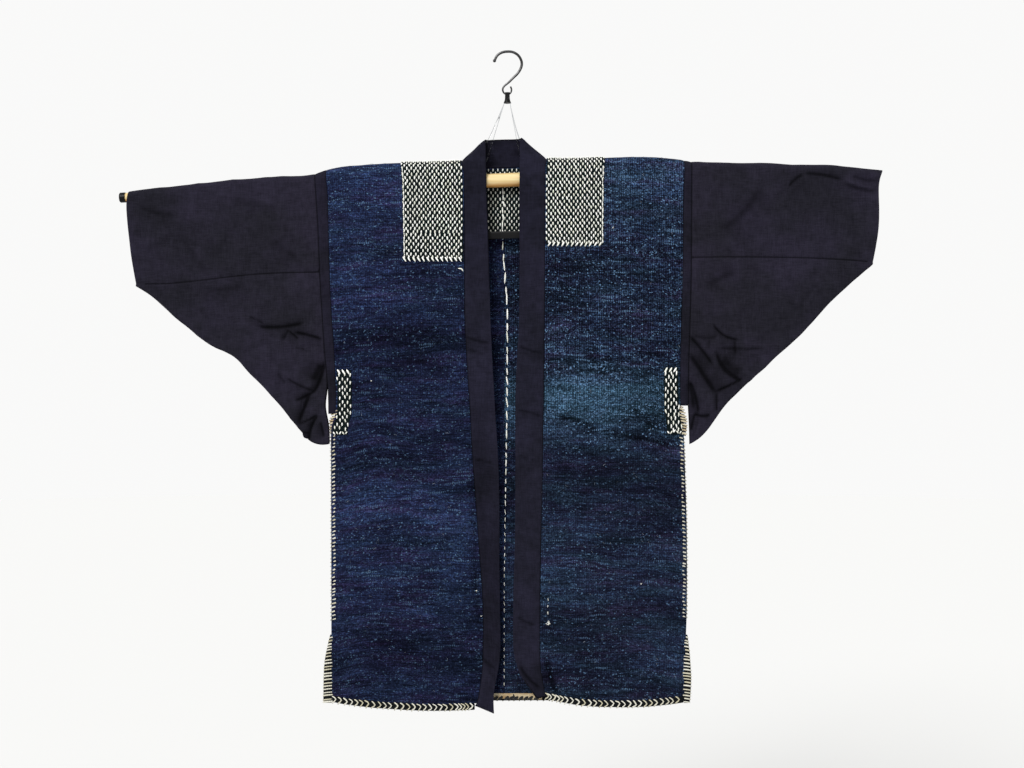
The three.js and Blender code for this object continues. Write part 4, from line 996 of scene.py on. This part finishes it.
def chevron_path(node, face, x, bottom, top, tip, lean):
    """A short arm down to the point and a long one back under the edge."""
    marks = ((lean - 6.4, top + 0.8, 0.1), (lean - 5.0, top + 0.4, 0.6),
             (-2.0, (top + tip) / 2 + 0.6, 0.8), (0.2, tip, 0.8),
             (-1.8, (tip + bottom) / 2, 0.8), (-4.6 - lean, bottom + 1.0, 0.7))
    path = [hem_place(node, face, x + along, z, bottom, top, lift) for along, z, lift in marks]
    under = path[-1]
    path.append(np.array([under[0] - 1.0, under[1] - face * 1.4, bottom - 1.2]))
    path.append(np.array([under[0] - 1.6, under[1] - face * 3.4, bottom - 0.8]))
    return path


def chevrons(node, face, seed):
    """Pointed stitches along a hem."""
    rng = np.random.default_rng(seed)
    paths = []
    low, high = corners(node)
    x = low[0] - 3
    while x < high[0] - 4:
        near_collar = face == FRONT and abs(x) < 90
        x += (6.2 if near_collar else 9.6) + rng.normal(0, 0.9)
        heights = [z for z in np.arange(low[2], high[2], 0.7) if on_face([node], x, z, face) is not None]
        if len(heights) < 6:
            continue
        bottom = heights[0]
        top = heights[-1]
        tip = (top * 0.6 + bottom * 0.4) + rng.normal(0, 0.8)
        paths.append(chevron_path(node, face, x, bottom, top, tip, rng.normal(0, 0.8)))
    ups = [[[0, face, 0]] * 6 + [[0, face * 0.5, -0.9], [0, -0.2 * face, -1]]] * len(paths)
    width = np.outer(rng.uniform(1.8, 2.5, len(paths)), [0.55, 0.9, 1, 1, 1, 0.95, 0.9, 0.7])
    return add_threads("chevrons_" + node, paths, ups, width, 0.58 * width, "cream_thread")


# Where the centre back's stitches run. Columns: height, x, length of a stitch, gap, width.
BACK_LINE = [
    (-1090, -4.6, 6, 6, 1.3),
    (-900, -4.4, 6, 5.5, 1.4),
    (-760, -2.5, 9, 4, 1.9),
    (-600, 0.3, 16, 2.6, 2.6),
    (-433, 0.8, 19, 2.2, 2.8),
    (-380, -3.5, 17, 2.2, 2.8),
    (-318, -8.0, 14, 2.0, 2.6),
    (-230, -7.4, 5.5, 2.4, 2.2),
]
BACK_LINE_TOP = -236.0
BACK_LINE_FOOT = -1086


def centre_back_stitches():
    """Long running stitches up the middle of the back, on the inside, shorter towards the hem."""
    rng = np.random.default_rng(14)
    stitches = Stitches()
    heights, *columns = np.array(BACK_LINE).T
    z = BACK_LINE_TOP
    while z > BACK_LINE_FOOT:
        x, length, gap, width = (np.interp(z, heights, column) for column in columns)
        on_lining = on_face(["yoke_lining"], x, z, FRONT)
        behind = on_face(["body_right", "body_left"], x, z, BACK)
        if on_lining is not None:
            inside = on_lining[0] + np.array([rng.normal(0, 0.8), -0.9, 0])
        else:
            inside = behind[0] - np.array([0, 2.9, 0])
        way = unit(np.array([rng.normal(-0.04, 0.07), 0, 1.0]))
        length *= rng.uniform(0.75, 1.3)
        stitches.add(inside, way, np.array([0, -1.0, 0]), length, width * rng.uniform(0.85, 1.1), 1.6)
        z -= length + gap * rng.uniform(0.7, 1.4)
    return stitches.make("centre_back_stitches")


def tape_stitches():
    """Dark slanted threads over the lower edge of the pale tape, and one across it."""
    stitches = Stitches()
    low, high = corners("hem_tape_back")
    rng = np.random.default_rng(17)
    for x in np.arange(low[0] + 4, high[0] - 3, 8.6):
        here = on_face(["hem_tape_back"], x + rng.normal(0, 0.8), low[2] + 3.4, FRONT)
        if here is not None:
            way = unit(np.array([0.8, 0, rng.uniform(0.4, 0.7)]))
            stitches.add(here[0] + np.array([0, -0.5, -0.6]), way, np.array([0, -1.0, 0]),
                         rng.uniform(9.0, 10.6), rng.uniform(5.2, 6.4), 1.8)
    across = on_face(["hem_tape_back"], 12, (low[2] + high[2]) / 2, FRONT)
    if across is not None:
        stitches.add(across[0] + np.array([0, -0.3, 0]), unit(np.array([-0.25, 0, 1.0])),
                     np.array([0, -1.0, 0]), 9.0, 3.2, 1.4)
    return stitches.make("tape_stitches", "dark_thread")


# Loose fibres on the rag weave

def random_places(piece, count, rng):
    """Places spread evenly over a piece's surface, with their normals. Millimetres."""
    mesh = piece.data
    areas = np.empty(len(mesh.polygons))
    mesh.polygons.foreach_get("area", areas)
    centres = np.empty(len(mesh.polygons) * 3)
    mesh.polygons.foreach_get("center", centres)
    normals = np.empty(len(mesh.polygons) * 3)
    mesh.polygons.foreach_get("normal", normals)
    chosen = rng.choice(len(areas), count, p=areas / areas.sum())
    return centres.reshape(-1, 3)[chosen] / MM, normals.reshape(-1, 3)[chosen]


def fibres(name, piece, count, seed, kind, lengths, radius, lift):
    """Short curled fibres that stand a little off the cloth."""
    rng = np.random.default_rng(seed)
    centres, normals = random_places(piece, count, rng)
    steps = 5
    way = np.cross(normals, rng.normal(size=normals.shape))
    way /= np.linalg.norm(way, axis=1)[:, None]
    turn = np.cross(normals, way)
    length = rng.uniform(*lengths, count)
    curl = rng.normal(0, 1.4, count)
    paths = np.empty((count, steps, 3))
    here = centres - 0.25 * normals
    for step in range(steps):
        paths[:, step] = here
        angle = curl * step / steps
        forward = way * np.cos(angle)[:, None] + turn * np.sin(angle)[:, None]
        rise = np.sin(math.pi * (step + 0.5) / steps * 0.85) * lift
        paths[:, step] += normals * rise
        here = here + forward * (length / steps)[:, None]
    width = np.outer(rng.uniform(*radius, count) * 2, [0.7, 1, 1, 0.9, 0.5])
    return add_threads(name, paths, normals, width, width, kind, 3)


# Small knots of pale yarn that have worked out of the weave. Columns: x, z, size.
KNOTS = [
    (-52, -917, 1.3), (-43, -960, 1.0), (70, -973, 3.6),
    (-230, -560, 1.2), (180, -300, 1.2), (228, -905, 1.1),
]
# Loose ends that lie on it. Columns: x and z of the start, x and z of the end, bow, width.
LOOSE_ENDS = [
    (-82.5, -369.5, -74.5, -374, 1.6, 2.3),
    (70, -930, 70.6, -934, 0, 1.4),
    (70, -941, 69.6, -945, 0, 1.4),
    (69.5, -952, 70, -957, 0, 1.6),
    (-27, -347, -19, -346.5, 0.4, 1.0),
]
YARN_SHAPE = np.array([0.5, 0.9, 1.0, 1.0, 0.8, 0.4])


def tufts():
    rng = np.random.default_rng(3)
    paths = []
    ups = []
    widths = []
    nodes = ["body_right", "body_left", "collar"]
    for x, z, size in KNOTS:
        for _ in range(9):
            here = on_face(nodes, x + rng.normal(0, 0.3 * size), z + rng.normal(0, 0.4 * size), FRONT)
            if here is None:
                continue
            centre, normal = here
            walk = rng.normal(0, 0.5 * size, (6, 3)) * [1, 0.25, 1]
            curve = centre + np.cumsum(walk, axis=0) * 0.5 + normal * (0.5 + 0.25 * size)
            paths.append(curve)
            ups.append(normal)
            widths.append(YARN_SHAPE * (0.5 + 0.16 * size))
    for x1, z1, x2, z2, bow, width in LOOSE_ENDS:
        here = on_face(nodes, (x1 + x2) / 2, (z1 + z2) / 2, FRONT)
        if here is None:
            continue
        share = np.linspace(0, 1, 6)
        depth = here[0][1] - 0.5
        paths.append(np.stack([x1 + (x2 - x1) * share + bow * np.sin(math.pi * share), np.full(6, depth),
                               z1 + (z2 - z1) * share + bow * np.sin(math.pi * share)], axis=1))
        ups.append(np.array([0, -1.0, 0]))
        widths.append(YARN_SHAPE * width)
    return add_threads("yarn_tufts", paths, ups, widths, widths, "white_thread", 5)


# Materials

def put(tree, socket, value):
    if isinstance(value, bpy.types.NodeSocket):
        tree.links.new(value, socket)
    elif isinstance(value, tuple) and len(value) == 3 and socket.type == "RGBA":
        socket.default_value = (*value, 1)
    else:
        socket.default_value = value


class Surface:
    """One material and short calls for the nodes that colour it."""

    def __init__(self, name, roughness, specular=0.25, sheen=0.0, sheen_tint=(1, 1, 1)):
        self.material = bpy.data.materials.new(name)
        self.material.use_nodes = True
        self.tree = self.material.node_tree
        self.shader = self.tree.nodes["Principled BSDF"]
        self.shader.inputs["Roughness"].default_value = roughness
        self.shader.inputs["Specular IOR Level"].default_value = specular
        self.shader.inputs["Sheen Weight"].default_value = sheen
        self.shader.inputs["Sheen Roughness"].default_value = 0.5
        self.shader.inputs["Sheen Tint"].default_value = (*sheen_tint, 1)

    def node(self, kind, inputs=None, **settings):
        node = self.tree.nodes.new(kind)
        for name, value in settings.items():
            setattr(node, name, value)
        for key, value in (inputs or {}).items():
            put(self.tree, node.inputs[key], value)
        return node

    def attribute(self, name, output="Vector"):
        return self.node("ShaderNodeAttribute", attribute_name=name).outputs[output]

    def scaled(self, vector, factors):
        return self.node("ShaderNodeVectorMath", {0: vector, 1: factors}, operation="MULTIPLY").outputs[0]

    def parts(self, vector):
        return self.node("ShaderNodeSeparateXYZ", {0: vector}).outputs

    def vector(self, x, y, z):
        return self.node("ShaderNodeCombineXYZ", {0: x, 1: y, 2: z}).outputs[0]

    def own_place(self):
        return self.node("ShaderNodeTexCoord").outputs["Object"]

    def noise(self, vector, factors, detail=2.0, roughness=0.5):
        """Noise with its own number of waves a metre along each axis, or one number for all three."""
        factors = factors if isinstance(factors, tuple) else (factors, factors, factors)
        inputs = {"Vector": self.scaled(vector, factors), "Scale": 1.0,
                  "Detail": detail, "Roughness": roughness}
        return self.node("ShaderNodeTexNoise", inputs).outputs[0]

    def cells(self, vector, output="Color", randomness=1.0):
        inputs = {"Vector": vector, "Scale": 1.0, "Randomness": randomness}
        return self.node("ShaderNodeTexVoronoi", inputs).outputs[output]

    def math(self, operation, first, second=0.0, clamp=False):
        inputs = {0: first, 1: second}
        return self.node("ShaderNodeMath", inputs, operation=operation, use_clamp=clamp).outputs[0]

    def times(self, first, *others, clamp=False):
        for other in others:
            first = self.math("MULTIPLY", first, other, clamp)
        return first

    def plus(self, first, *others, clamp=False):
        for other in others:
            first = self.math("ADD", first, other, clamp)
        return first

    def lit(self, colour, light):
        return self.mix(1.0, colour, self.vector(light, light, light), "MULTIPLY")

    def level(self, value, low, high, to_low=0.0, to_high=1.0, kind="LINEAR"):
        inputs = {"Value": value, "From Min": low, "From Max": high, "To Min": to_low, "To Max": to_high}
        return self.node("ShaderNodeMapRange", inputs, interpolation_type=kind).outputs[0]

    def spread(self, *limits):
        """Like level, with a soft start and end."""
        return self.level(*limits, kind="SMOOTHSTEP")

    def mix(self, factor, first, second, blend="MIX"):
        inputs = {0: factor, 6: first, 7: second}
        return self.node("ShaderNodeMix", inputs, data_type="RGBA", blend_type=blend).outputs[2]

    def ramp(self, value, stops):
        node = self.node("ShaderNodeValToRGB", {0: value})
        node.color_ramp.interpolation = "B_SPLINE"
        elements = node.color_ramp.elements
        while len(elements) < len(stops):
            elements.new(0.5)
        for element, (place, level) in zip(elements, stops):
            element.position = place
            element.color = (level, level, level, 1)
        return node.outputs[0]

    def wave(self, value, length, phase=0.0):
        """A ripple from 0 to 1 with the given length."""
        angle = self.plus(self.times(value, 2 * math.pi / length), phase)
        return self.plus(self.times(self.math("SINE", angle), 0.5), 0.5)

    def bump(self, height, distance, strength=1.0):
        inputs = {"Height": height, "Distance": distance, "Strength": strength}
        normal = self.node("ShaderNodeBump", inputs).outputs[0]
        put(self.tree, self.shader.inputs["Normal"], normal)

    def colour(self, value):
        """The base colour, brought down by the light that falls on everything."""
        level = 1 / EXPOSURE
        shown = self.mix(1.0, value, (level, level, level), "MULTIPLY")
        put(self.tree, self.shader.inputs["Base Color"], shown)

    def roughness(self, value):
        put(self.tree, self.shader.inputs["Roughness"], value)

    def fold_shade(self, depth):
        """How much light is left in the creases: painted shade in and beside them, and a painted highlight
        on a ridge's top.
        """
        return self.level(self.attribute("crease_shade", "Fac"), -0.3, 1.1, 1 + 0.3 * depth, 1 - depth)


# How light the weave is down each panel. Columns: height in metres, lightness.
RAG_TONES = {
    "rag_right": [(-1.12, 0.6), (-1.043, 0.68), (-0.965, 0.7), (-0.89, 1.02), (-0.822, 1.1), (-0.72, 0.78),
                  (-0.62, 0.84), (-0.545, 0.6), (-0.50, 0.66), (-0.448, 1.0), (-0.36, 0.84), (-0.25, 1.38),
                  (-0.18, 1.5)],
    "rag_left": [(-1.12, 0.84), (-1.03, 0.92), (-0.95, 0.82), (-0.85, 1.02), (-0.8, 0.78), (-0.752, 0.42),
                 (-0.69, 0.95), (-0.64, 1.35), (-0.605, 2.2), (-0.565, 1.6), (-0.52, 0.72), (-0.448, 0.8),
                 (-0.38, 0.76), (-0.26, 1.4), (-0.18, 1.6)],
}
# Indigo of several ages down each panel: deep, bright, violet and greener
RAG_DYES = {
    "rag_right": ((0.0152, 0.0192, 0.0545), (0.0142, 0.0262, 0.0670), (0.0225, 0.0180, 0.0570),
                  (0.0125, 0.0245, 0.0560)),
    "rag_left": ((0.0150, 0.0190, 0.0460), (0.0148, 0.0285, 0.0600), (0.0220, 0.0190, 0.0480),
                 (0.0135, 0.0290, 0.0480)),
}
# How strong each panel's marks are, below and above its middle: grain, ribs and pale threads
RAG_MARKS = {
    "rag_right": ((0.5, 0.5), (0.15, 0.4), (0.7, 0.8)),
    "rag_left": ((0.5, 0.78), (0.45, 1.2), (0.8, 1.6)),
}
MARKS_CHANGE = (-0.72, -0.60)
TONE_FOOT = -1.12
TONE_TOP = -0.18
TONE_MOST = 2.3
TEAL_BAND = ((-0.70, -0.62), (-0.53, -0.59))
PALE_INDIGO = (0.13, 0.24, 0.40)
RIB = 0.0031
PICK = 0.0015                  # height of one weft thread
FLOAT_LENGTH = 0.0021          # of the weft between two warps
ROW_LENGTH = 0.02              # of the short rows of pale threads
# How uneven the strips are, from their finest lines to whole lots of cloth. Columns: the noise's waves a
# metre, detail and roughness, its own range, and the light it gives.
STRIPS = [
    (((26, 460, 40), 2, 0.55), 0.3, 0.7, 0.52, 1.48),
    (((9, 110, 40), 3, 0.6), 0.3, 0.7, 0.74, 1.26),
    (((4.5, 15, 7), 5, 0.6), 0.32, 0.68, 0.6, 1.4),
]


def rag_tone(surface, name, v):
    """How bright the dye lots are down the panel."""
    reach = TONE_TOP - TONE_FOOT
    stops = [((height - TONE_FOOT) / reach, level / TONE_MOST) for height, level in RAG_TONES[name]]
    return surface.times(surface.ramp(surface.level(v, TONE_FOOT, TONE_TOP), stops), TONE_MOST)


def rag_base(surface, name, v, bent, light, teal, teal_band):
    """The indigos of the strips: bright where they are light, with violet and greener ones among them."""
    deep, clear, violet, green = RAG_DYES[name]
    hue = surface.noise(bent, (7, 30, 11), 3, 0.6)
    other = surface.noise(bent, (8, 40, 26), 4, 0.7)
    base = surface.mix(surface.spread(light, 0.6, 2.2), deep, clear)
    base = surface.mix(surface.spread(other, 0.46, 0.66, 0.0, 0.8), base, violet)
    band = surface.times(*(surface.spread(v, *ends) for ends in TEAL_BAND))
    greener = surface.times(surface.spread(hue, 0.44, 0.62), teal)
    greener = surface.plus(greener, surface.times(band, teal_band), clamp=True)
    return surface.mix(greener, base, green)


def pale_threads(surface, bent, floats, ribs, strength):
    """Paler threads come up between the warps, singly, in clusters and in short rows along one pick."""
    cluster = surface.spread(surface.noise(bent, (15, 60, 17), 4, 0.65), 0.42, 0.68)
    bright = surface.times(surface.spread(floats[1], 0.8, 1.0), cluster)
    lone = surface.spread(floats[2], 0.972, 0.99)
    picks = surface.parts(surface.cells(surface.scaled(bent, (1 / ROW_LENGTH, 1 / (1.5 * PICK), 1))))
    rows = surface.times(surface.spread(picks[1], 0.975, 0.99), surface.spread(ribs, 0.45, 0.85))
    pale = surface.plus(surface.times(bright, 0.5), surface.times(lone, 0.8))
    pale = surface.plus(pale, surface.times(rows, 0.8), clamp=True)
    return surface.times(pale, strength, clamp=True)


def rag_weave(name, seed, teal, teal_band):
    """Torn strips of old indigo cloth woven across fine upright warps."""
    surface = Surface(name, 0.95, 0.015, 0.005, (0.5, 0.6, 0.9))
    place = surface.attribute("cloth")
    u, v, _ = surface.parts(place)
    grain, rib_strength, pale_strength = (
        surface.level(v, *MARKS_CHANGE, *marks) for marks in RAG_MARKS[name])
    slow = surface.spread(surface.noise(place, 6, 2), 0.2, 0.8, -0.0045, 0.0045)
    quick = surface.spread(surface.noise(place, 40, 1), 0.2, 0.8, -0.0008, 0.0008)
    row_place = surface.plus(v, slow, quick)
    bent = surface.vector(u, row_place, seed)
    # Each short float of yarn has a tone of its own, and so has each torn strip
    floats = surface.parts(surface.cells(surface.scaled(bent, (1 / FLOAT_LENGTH, 1 / PICK, 1))))
    tall = surface.times(surface.math("POWER", floats[0], 3.0), 3.0)
    light = surface.plus(surface.times(surface.math("SUBTRACT", tall, 0.75), grain), 1)
    for strip, *limits in STRIPS:
        light = surface.times(light, surface.spread(surface.noise(bent, *strip), *limits))
    tone = rag_tone(surface, name, v)
    light = surface.times(light, tone)
    ribs = surface.wave(u, RIB)
    rib_light = surface.times(surface.math("SUBTRACT", ribs, 0.5), rib_strength)
    light = surface.times(light, surface.plus(rib_light, 1))
    light = surface.times(light, surface.fold_shade(0.72))
    light = surface.times(light, surface.plus(surface.attribute("worn", "Fac"), 1))
    shade = surface.lit(rag_base(surface, name, v, bent, light, teal, teal_band), light)
    pale = pale_threads(surface, bent, floats, ribs, surface.times(tone, pale_strength))
    surface.colour(surface.mix(pale, shade, PALE_INDIGO))
    lines = surface.noise(bent, *STRIPS[0][0])
    heights = ((surface.wave(row_place, PICK), 0.3), (ribs, 0.45), (floats[0], 0.4), (lines, 0.8))
    relief = surface.plus(*(surface.times(mark, height) for mark, height in heights))
    surface.bump(relief, 0.0008)
    return surface.material


def plain_cotton(name, colour, worn):
    """Dark, closely woven cotton, with paler worn places and dark stitched seams."""
    surface = Surface(name, 0.88, 0.03, 0.015, (0.75, 0.75, 1.0))
    place = surface.attribute("cloth")
    u, v, _ = surface.parts(place)
    cloudy = surface.noise(place, (8, 10, 8), 4, 0.62)
    mottled = surface.noise(place, 70, 3, 0.7)
    slub = surface.noise(place, (60, 900, 300), 2, 0.6)
    upright = surface.noise(place, (800, 50, 300), 2, 0.6)
    shade = surface.mix(surface.spread(cloudy, 0.36, 0.66), colour, worn)
    light = surface.spread(cloudy, 0.25, 0.75, 0.84, 1.12)
    light = surface.times(light, surface.spread(mottled, 0.25, 0.75, 0.84, 1.18))
    grain = surface.plus(surface.spread(slub, 0.3, 0.7, -0.16, 0.18),
                         surface.spread(upright, 0.3, 0.7, -0.14, 0.16))
    light = surface.plus(light, grain)
    seam = surface.spread(surface.attribute("nearness", "Fac"), 0.86, 0.99, 1.0, 0.3)
    light = surface.times(light, seam)
    light = surface.times(light, surface.fold_shade(0.8))
    surface.colour(surface.lit(shade, light))
    thread = 0.0009
    weave = surface.plus(surface.wave(u, thread), surface.wave(v, thread, 1.3))
    relief = surface.plus(surface.times(weave, 0.5), surface.times(slub, 1.2))
    surface.bump(relief, 0.00022)
    return surface.material


def patch_cloth():
    """The dark ground under the stitches: dark cloth, painted darker still as shade round the stitches."""
    surface = Surface("patch_cloth", 0.9, 0.05, 0.02)
    place = surface.attribute("cloth")
    u, v, _ = surface.parts(place)
    blotch = surface.noise(place, 30, 3)
    # Near-black, below the cloth's own dark colour: painted shade between the raised stitches.
    shade = surface.mix(blotch, (0.0018, 0.0046, 0.0048), (0.006, 0.014, 0.015))
    surface.colour(shade)
    relief = surface.plus(surface.wave(u, 0.0016), surface.wave(v, 0.0016))
    surface.bump(relief, 0.0003)
    return surface.material


def binding_cloth():
    surface = Surface("binding_cloth", 0.9, 0.05, 0.02)
    place = surface.attribute("cloth")
    blotch = surface.noise(place, 60, 3)
    surface.colour(surface.mix(blotch, (0.0022, 0.0026, 0.0034), (0.009, 0.011, 0.013)))
    surface.bump(surface.noise(place, 500, 2), 0.0006)
    return surface.material


def tape_cloth():
    surface = Surface("tape_cloth", 0.85, 0.2, 0.1)
    place = surface.attribute("cloth")
    u, v, _ = surface.parts(place)
    blotch = surface.noise(place, (34, 80, 30), 3, 0.6)
    surface.colour(surface.mix(surface.spread(blotch, 0.3, 0.7), (0.50, 0.32, 0.14), (0.86, 0.76, 0.52)))
    relief = surface.plus(surface.wave(u, 0.0011), surface.wave(v, 0.0011))
    surface.bump(relief, 0.0003)
    return surface.material


def thread(name, pale, dull):
    """Soft twisted yarn. Each stitch has a tone of its own."""
    surface = Surface(name, 0.75, 0.2, 0.15)
    tone = surface.attribute("tone", "Fac")
    place = surface.own_place()
    fleck = surface.noise(place, 260, 2)
    factor = surface.plus(surface.times(tone, 0.6), surface.times(fleck, 0.5))
    surface.colour(surface.mix(surface.spread(factor, 0.3, 1.0), pale, dull))
    along = surface.attribute("along", "Fac")
    x, y, _ = surface.parts(place)
    twist = surface.plus(surface.times(along, 26),
                         surface.times(surface.plus(x, y), 1500))
    ply = surface.math("ABSOLUTE", surface.math("SINE", twist))
    surface.bump(ply, 0.0004)
    return surface.material


def wood():
    """Pale, straight-grained softwood with a thin varnish, and painted shade in a deeper orange on its
    underside.
    """
    surface = Surface("pale_wood", 0.42, 0.4)
    place = surface.own_place()
    grain = surface.noise(place, (6, 260, 260), 4, 0.6)
    cloudy = surface.noise(place, (9, 40, 40), 2)
    shade = surface.mix(surface.spread(grain, 0.32, 0.7), (1.0, 0.86, 0.47), (0.88, 0.60, 0.25))
    shade = surface.mix(surface.spread(cloudy, 0.35, 0.8, 0.0, 0.3), shade, (0.92, 0.62, 0.27))
    # Painted shade: faces turned downward are mixed towards a deeper orange.
    normal = surface.node("ShaderNodeNewGeometry").outputs["Normal"]
    under = surface.spread(surface.parts(normal)[2], -0.2, -1.0)
    shade = surface.mix(under, shade, (0.98, 0.47, 0.11))
    surface.colour(shade)
    surface.roughness(surface.spread(grain, 0.3, 0.7, 0.34, 0.5))
    surface.shader.inputs["Coat Weight"].default_value = 0.25
    surface.shader.inputs["Coat Roughness"].default_value = 0.2
    surface.bump(grain, 0.0003)
    return surface.material


def black_plastic():
    surface = Surface("black_plastic", 0.45, 0.1)
    place = surface.own_place()
    fine = surface.noise(place, 900, 2)
    dusty = surface.noise(place, 45, 3)
    surface.colour(surface.mix(dusty, (0.0030, 0.0030, 0.0034), (0.007, 0.007, 0.0075)))
    surface.roughness(surface.spread(dusty, 0.3, 0.7, 0.3, 0.5))
    surface.bump(fine, 0.00008)
    return surface.material


def black_wire():
    surface = Surface("black_wire", 0.3, 0.5)
    place = surface.own_place()
    worn = surface.noise(place, 120, 3)
    surface.colour(surface.mix(surface.spread(worn, 0.45, 0.75), (0.006, 0.006, 0.007), (0.03, 0.03, 0.032)))
    surface.roughness(surface.spread(worn, 0.3, 0.7, 0.22, 0.42))
    surface.bump(worn, 0.00012)
    return surface.material


def clear_line():
    surface = Surface("clear_line", 0.12, 0.1)
    place = surface.own_place()
    cloudy = surface.noise(place, 200, 2)
    surface.colour(surface.mix(cloudy, (1.15, 1.17, 1.19), (1.4, 1.42, 1.44)))
    surface.shader.inputs["Transmission Weight"].default_value = 1.0
    surface.shader.inputs["IOR"].default_value = 1.12
    surface.roughness(surface.spread(cloudy, 0.3, 0.7, 0.08, 0.2))
    return surface.material


# Each finish: the record's slot and the material
FINISHES = {
    "rag_right": ("rag_weave", rag_weave("rag_right", 3.0, 0.5, 0.0)),
    "rag_left": ("rag_weave", rag_weave("rag_left", 8.0, 0.5, 0.8)),
    "patch": ("stitched_patch", patch_cloth()),
    "binding": ("stitched_edge", binding_cloth()),
    "tape": ("pale_tape", tape_cloth()),
    "wood": ("wood", wood()),
    "black_plastic": ("black_plastic", black_plastic()),
    "black_wire": ("black_wire", black_wire()),
    "clear_line": ("clear_line", clear_line()),
}
# Plain cottons. Columns: colour, colour where it is worn.
COTTONS = {
    "cotton": ((0.0168, 0.0160, 0.0240), (0.0200, 0.0176, 0.0306)),
    "strip_cotton": ((0.0118, 0.0115, 0.0182), (0.0142, 0.0128, 0.0240)),
    "collar_cotton": ((0.0133, 0.0131, 0.0230), (0.0160, 0.0152, 0.0290)),
}
# Yarns. Columns: slot, pale colour, dull colour.
YARNS = {
    "white_thread": ("stitched_patch", (1.5, 1.5, 1.43), (1.2, 1.22, 1.04)),
    "cream_thread": ("stitched_edge", (0.90, 0.88, 0.76), (0.62, 0.57, 0.38)),
    "tan_thread": ("pale_tape", (0.86, 0.76, 0.52), (0.42, 0.28, 0.13)),
    # dark_thread: the tape's dark stitches, and the cloth's edge between the tan stitches, painted
    # near-black as shade.
    "dark_thread": ("stitched_edge", (0.010, 0.011, 0.012), (0.003, 0.003, 0.004)),
    "indigo_fibre": ("rag_weave", (0.05, 0.075, 0.14), (0.012, 0.017, 0.035)),
    "pale_fibre": ("rag_weave", (0.45, 0.52, 0.62), (0.16, 0.2, 0.28)),
}
for name, colours in COTTONS.items():
    FINISHES[name] = ("plain_cotton", plain_cotton(name, *colours))
for name, (slot, *colours) in YARNS.items():
    FINISHES[name] = (slot, thread(name, *colours))


def dress(piece, kind):
    slot, material = FINISHES[kind]
    piece.data.materials.clear()
    piece.data.materials.append(material)


# The hanger

def smooth_copy(node, kind, levels=2, angle=40):
    """A hard piece with its own form, its round faces made smooth and its edges kept."""
    bm = shared_corners(node)
    bmesh.ops.join_triangles(
        bm, faces=bm.faces, angle_face_threshold=math.radians(12), angle_shape_threshold=math.radians(90))
    layer = bm.edges.layers.float.new("crease_edge")
    for edge in bm.edges:
        if len(edge.link_faces) == 2 and edge.calc_face_angle() > math.radians(angle):
            edge[layer] = 0.85
    mesh = bpy.data.meshes.new(node)
    bm.to_mesh(mesh)
    bm.free()
    piece = link("fine_" + node, mesh)
    subdivide(piece, levels, "ALL")
    smooth_shading(piece.data, 35)
    dress(piece, kind)
    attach(piece, "root")
    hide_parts(node)
    return piece


HANGER = {
    "rod_centre": "wood", "rod_arm_right": "wood", "rod_arm_left": "wood", "arm_cap_right": "black_plastic",
    "arm_cap_left": "black_plastic", "tie_bar": "black_plastic", "hanging_line_right": "clear_line",
    "hanging_line_left": "clear_line", "line_clip": "black_plastic", "wall_hook": "black_wire",
}


# The surroundings

def make_camera():
    data = bpy.data.cameras.new("camera")
    data.sensor_width = SENSOR
    data.lens = SENSOR * VIEW_DISTANCE / VIEW_WIDTH
    data.clip_start = 0.05
    data.clip_end = 60
    camera = bpy.data.objects.new("camera", data)
    camera.location = CAMERA_AT
    camera.rotation_euler = (math.radians(90), 0, 0)
    bpy.context.scene.collection.objects.link(camera)
    bpy.context.scene.camera = camera


def make_light():
    world = bpy.data.worlds.new("studio")
    world.use_nodes = True
    background = world.node_tree.nodes["Background"]
    background.inputs["Color"].default_value = (1, 1, 0.995, 1)
    background.inputs["Strength"].default_value = WORLD_LIGHT
    bpy.context.scene.world = world
    data = bpy.data.lights.new("key", "SUN")
    way = KEY_FROM.normalized()
    data.energy = math.pi * KEY_LIGHT / -way.y
    data.angle = math.radians(KEY_SOFTNESS)
    key = bpy.data.objects.new("key", data)
    key.rotation_euler = way.to_track_quat("Z", "Y").to_euler()
    bpy.context.scene.collection.objects.link(key)
    bpy.context.scene.view_settings.view_transform = "Standard"


def make_floor():
    """A pale floor far below, as light as the world round it."""
    bm = bmesh.new()
    bmesh.ops.create_circle(bm, cap_ends=True, segments=96, radius=FLOOR_SIZE)
    bmesh.ops.translate(bm, verts=bm.verts, vec=(0, 0, FLOOR_HEIGHT))
    mesh = bpy.data.meshes.new("floor")
    bm.to_mesh(mesh)
    bm.free()
    floor = link("floor", mesh)
    way = KEY_FROM.normalized()
    key = KEY_LIGHT * way.z / -way.y
    level = WORLD_LIGHT / (WORLD_LIGHT + key)
    surface = Surface("floor", 1.0, 0.0)
    surface.shader.inputs["Base Color"].default_value = (level, level, 0.99 * level, 1)
    mesh.materials.append(surface.material)


make_camera()
make_light()
make_floor()

pieces = {cloth.node: make_cloth(cloth) for cloth in CLOTHS}

stitch_yoke("yoke_patch_right", 1, 51)
stitch_yoke("yoke_patch_left", -1, 52)
stitch_lining()
for side, sign in (("right", -1), ("left", 1)):
    stitch_side_patch("side_patch_front_" + side, FRONT, sign, 61)
    stitch_side_patch("side_patch_back_" + side, BACK, sign, 62)
    overcast_side(side, sign, 63 + sign)
    tan_stitches(side, sign)
    overcast_vent(side, sign)
chevrons("hem_binding_front_right", FRONT, 71)
chevrons("hem_binding_front_left", FRONT, 72)
chevrons("hem_binding_back", BACK, 73)
centre_back_stitches()
tape_stitches()
for name in ("body_right", "body_left"):
    seed = 80 + len(name)
    fibres("fuzz_" + name, pieces[name], 1000, seed, "indigo_fibre", (4, 10), (0.13, 0.22), 0.9)
    fibres("pale_fuzz_" + name, pieces[name], 350, seed + 9, "pale_fibre", (2.5, 7), (0.14, 0.26), 0.8)
tufts()
for node, kind in HANGER.items():
    smooth_copy(node, kind)
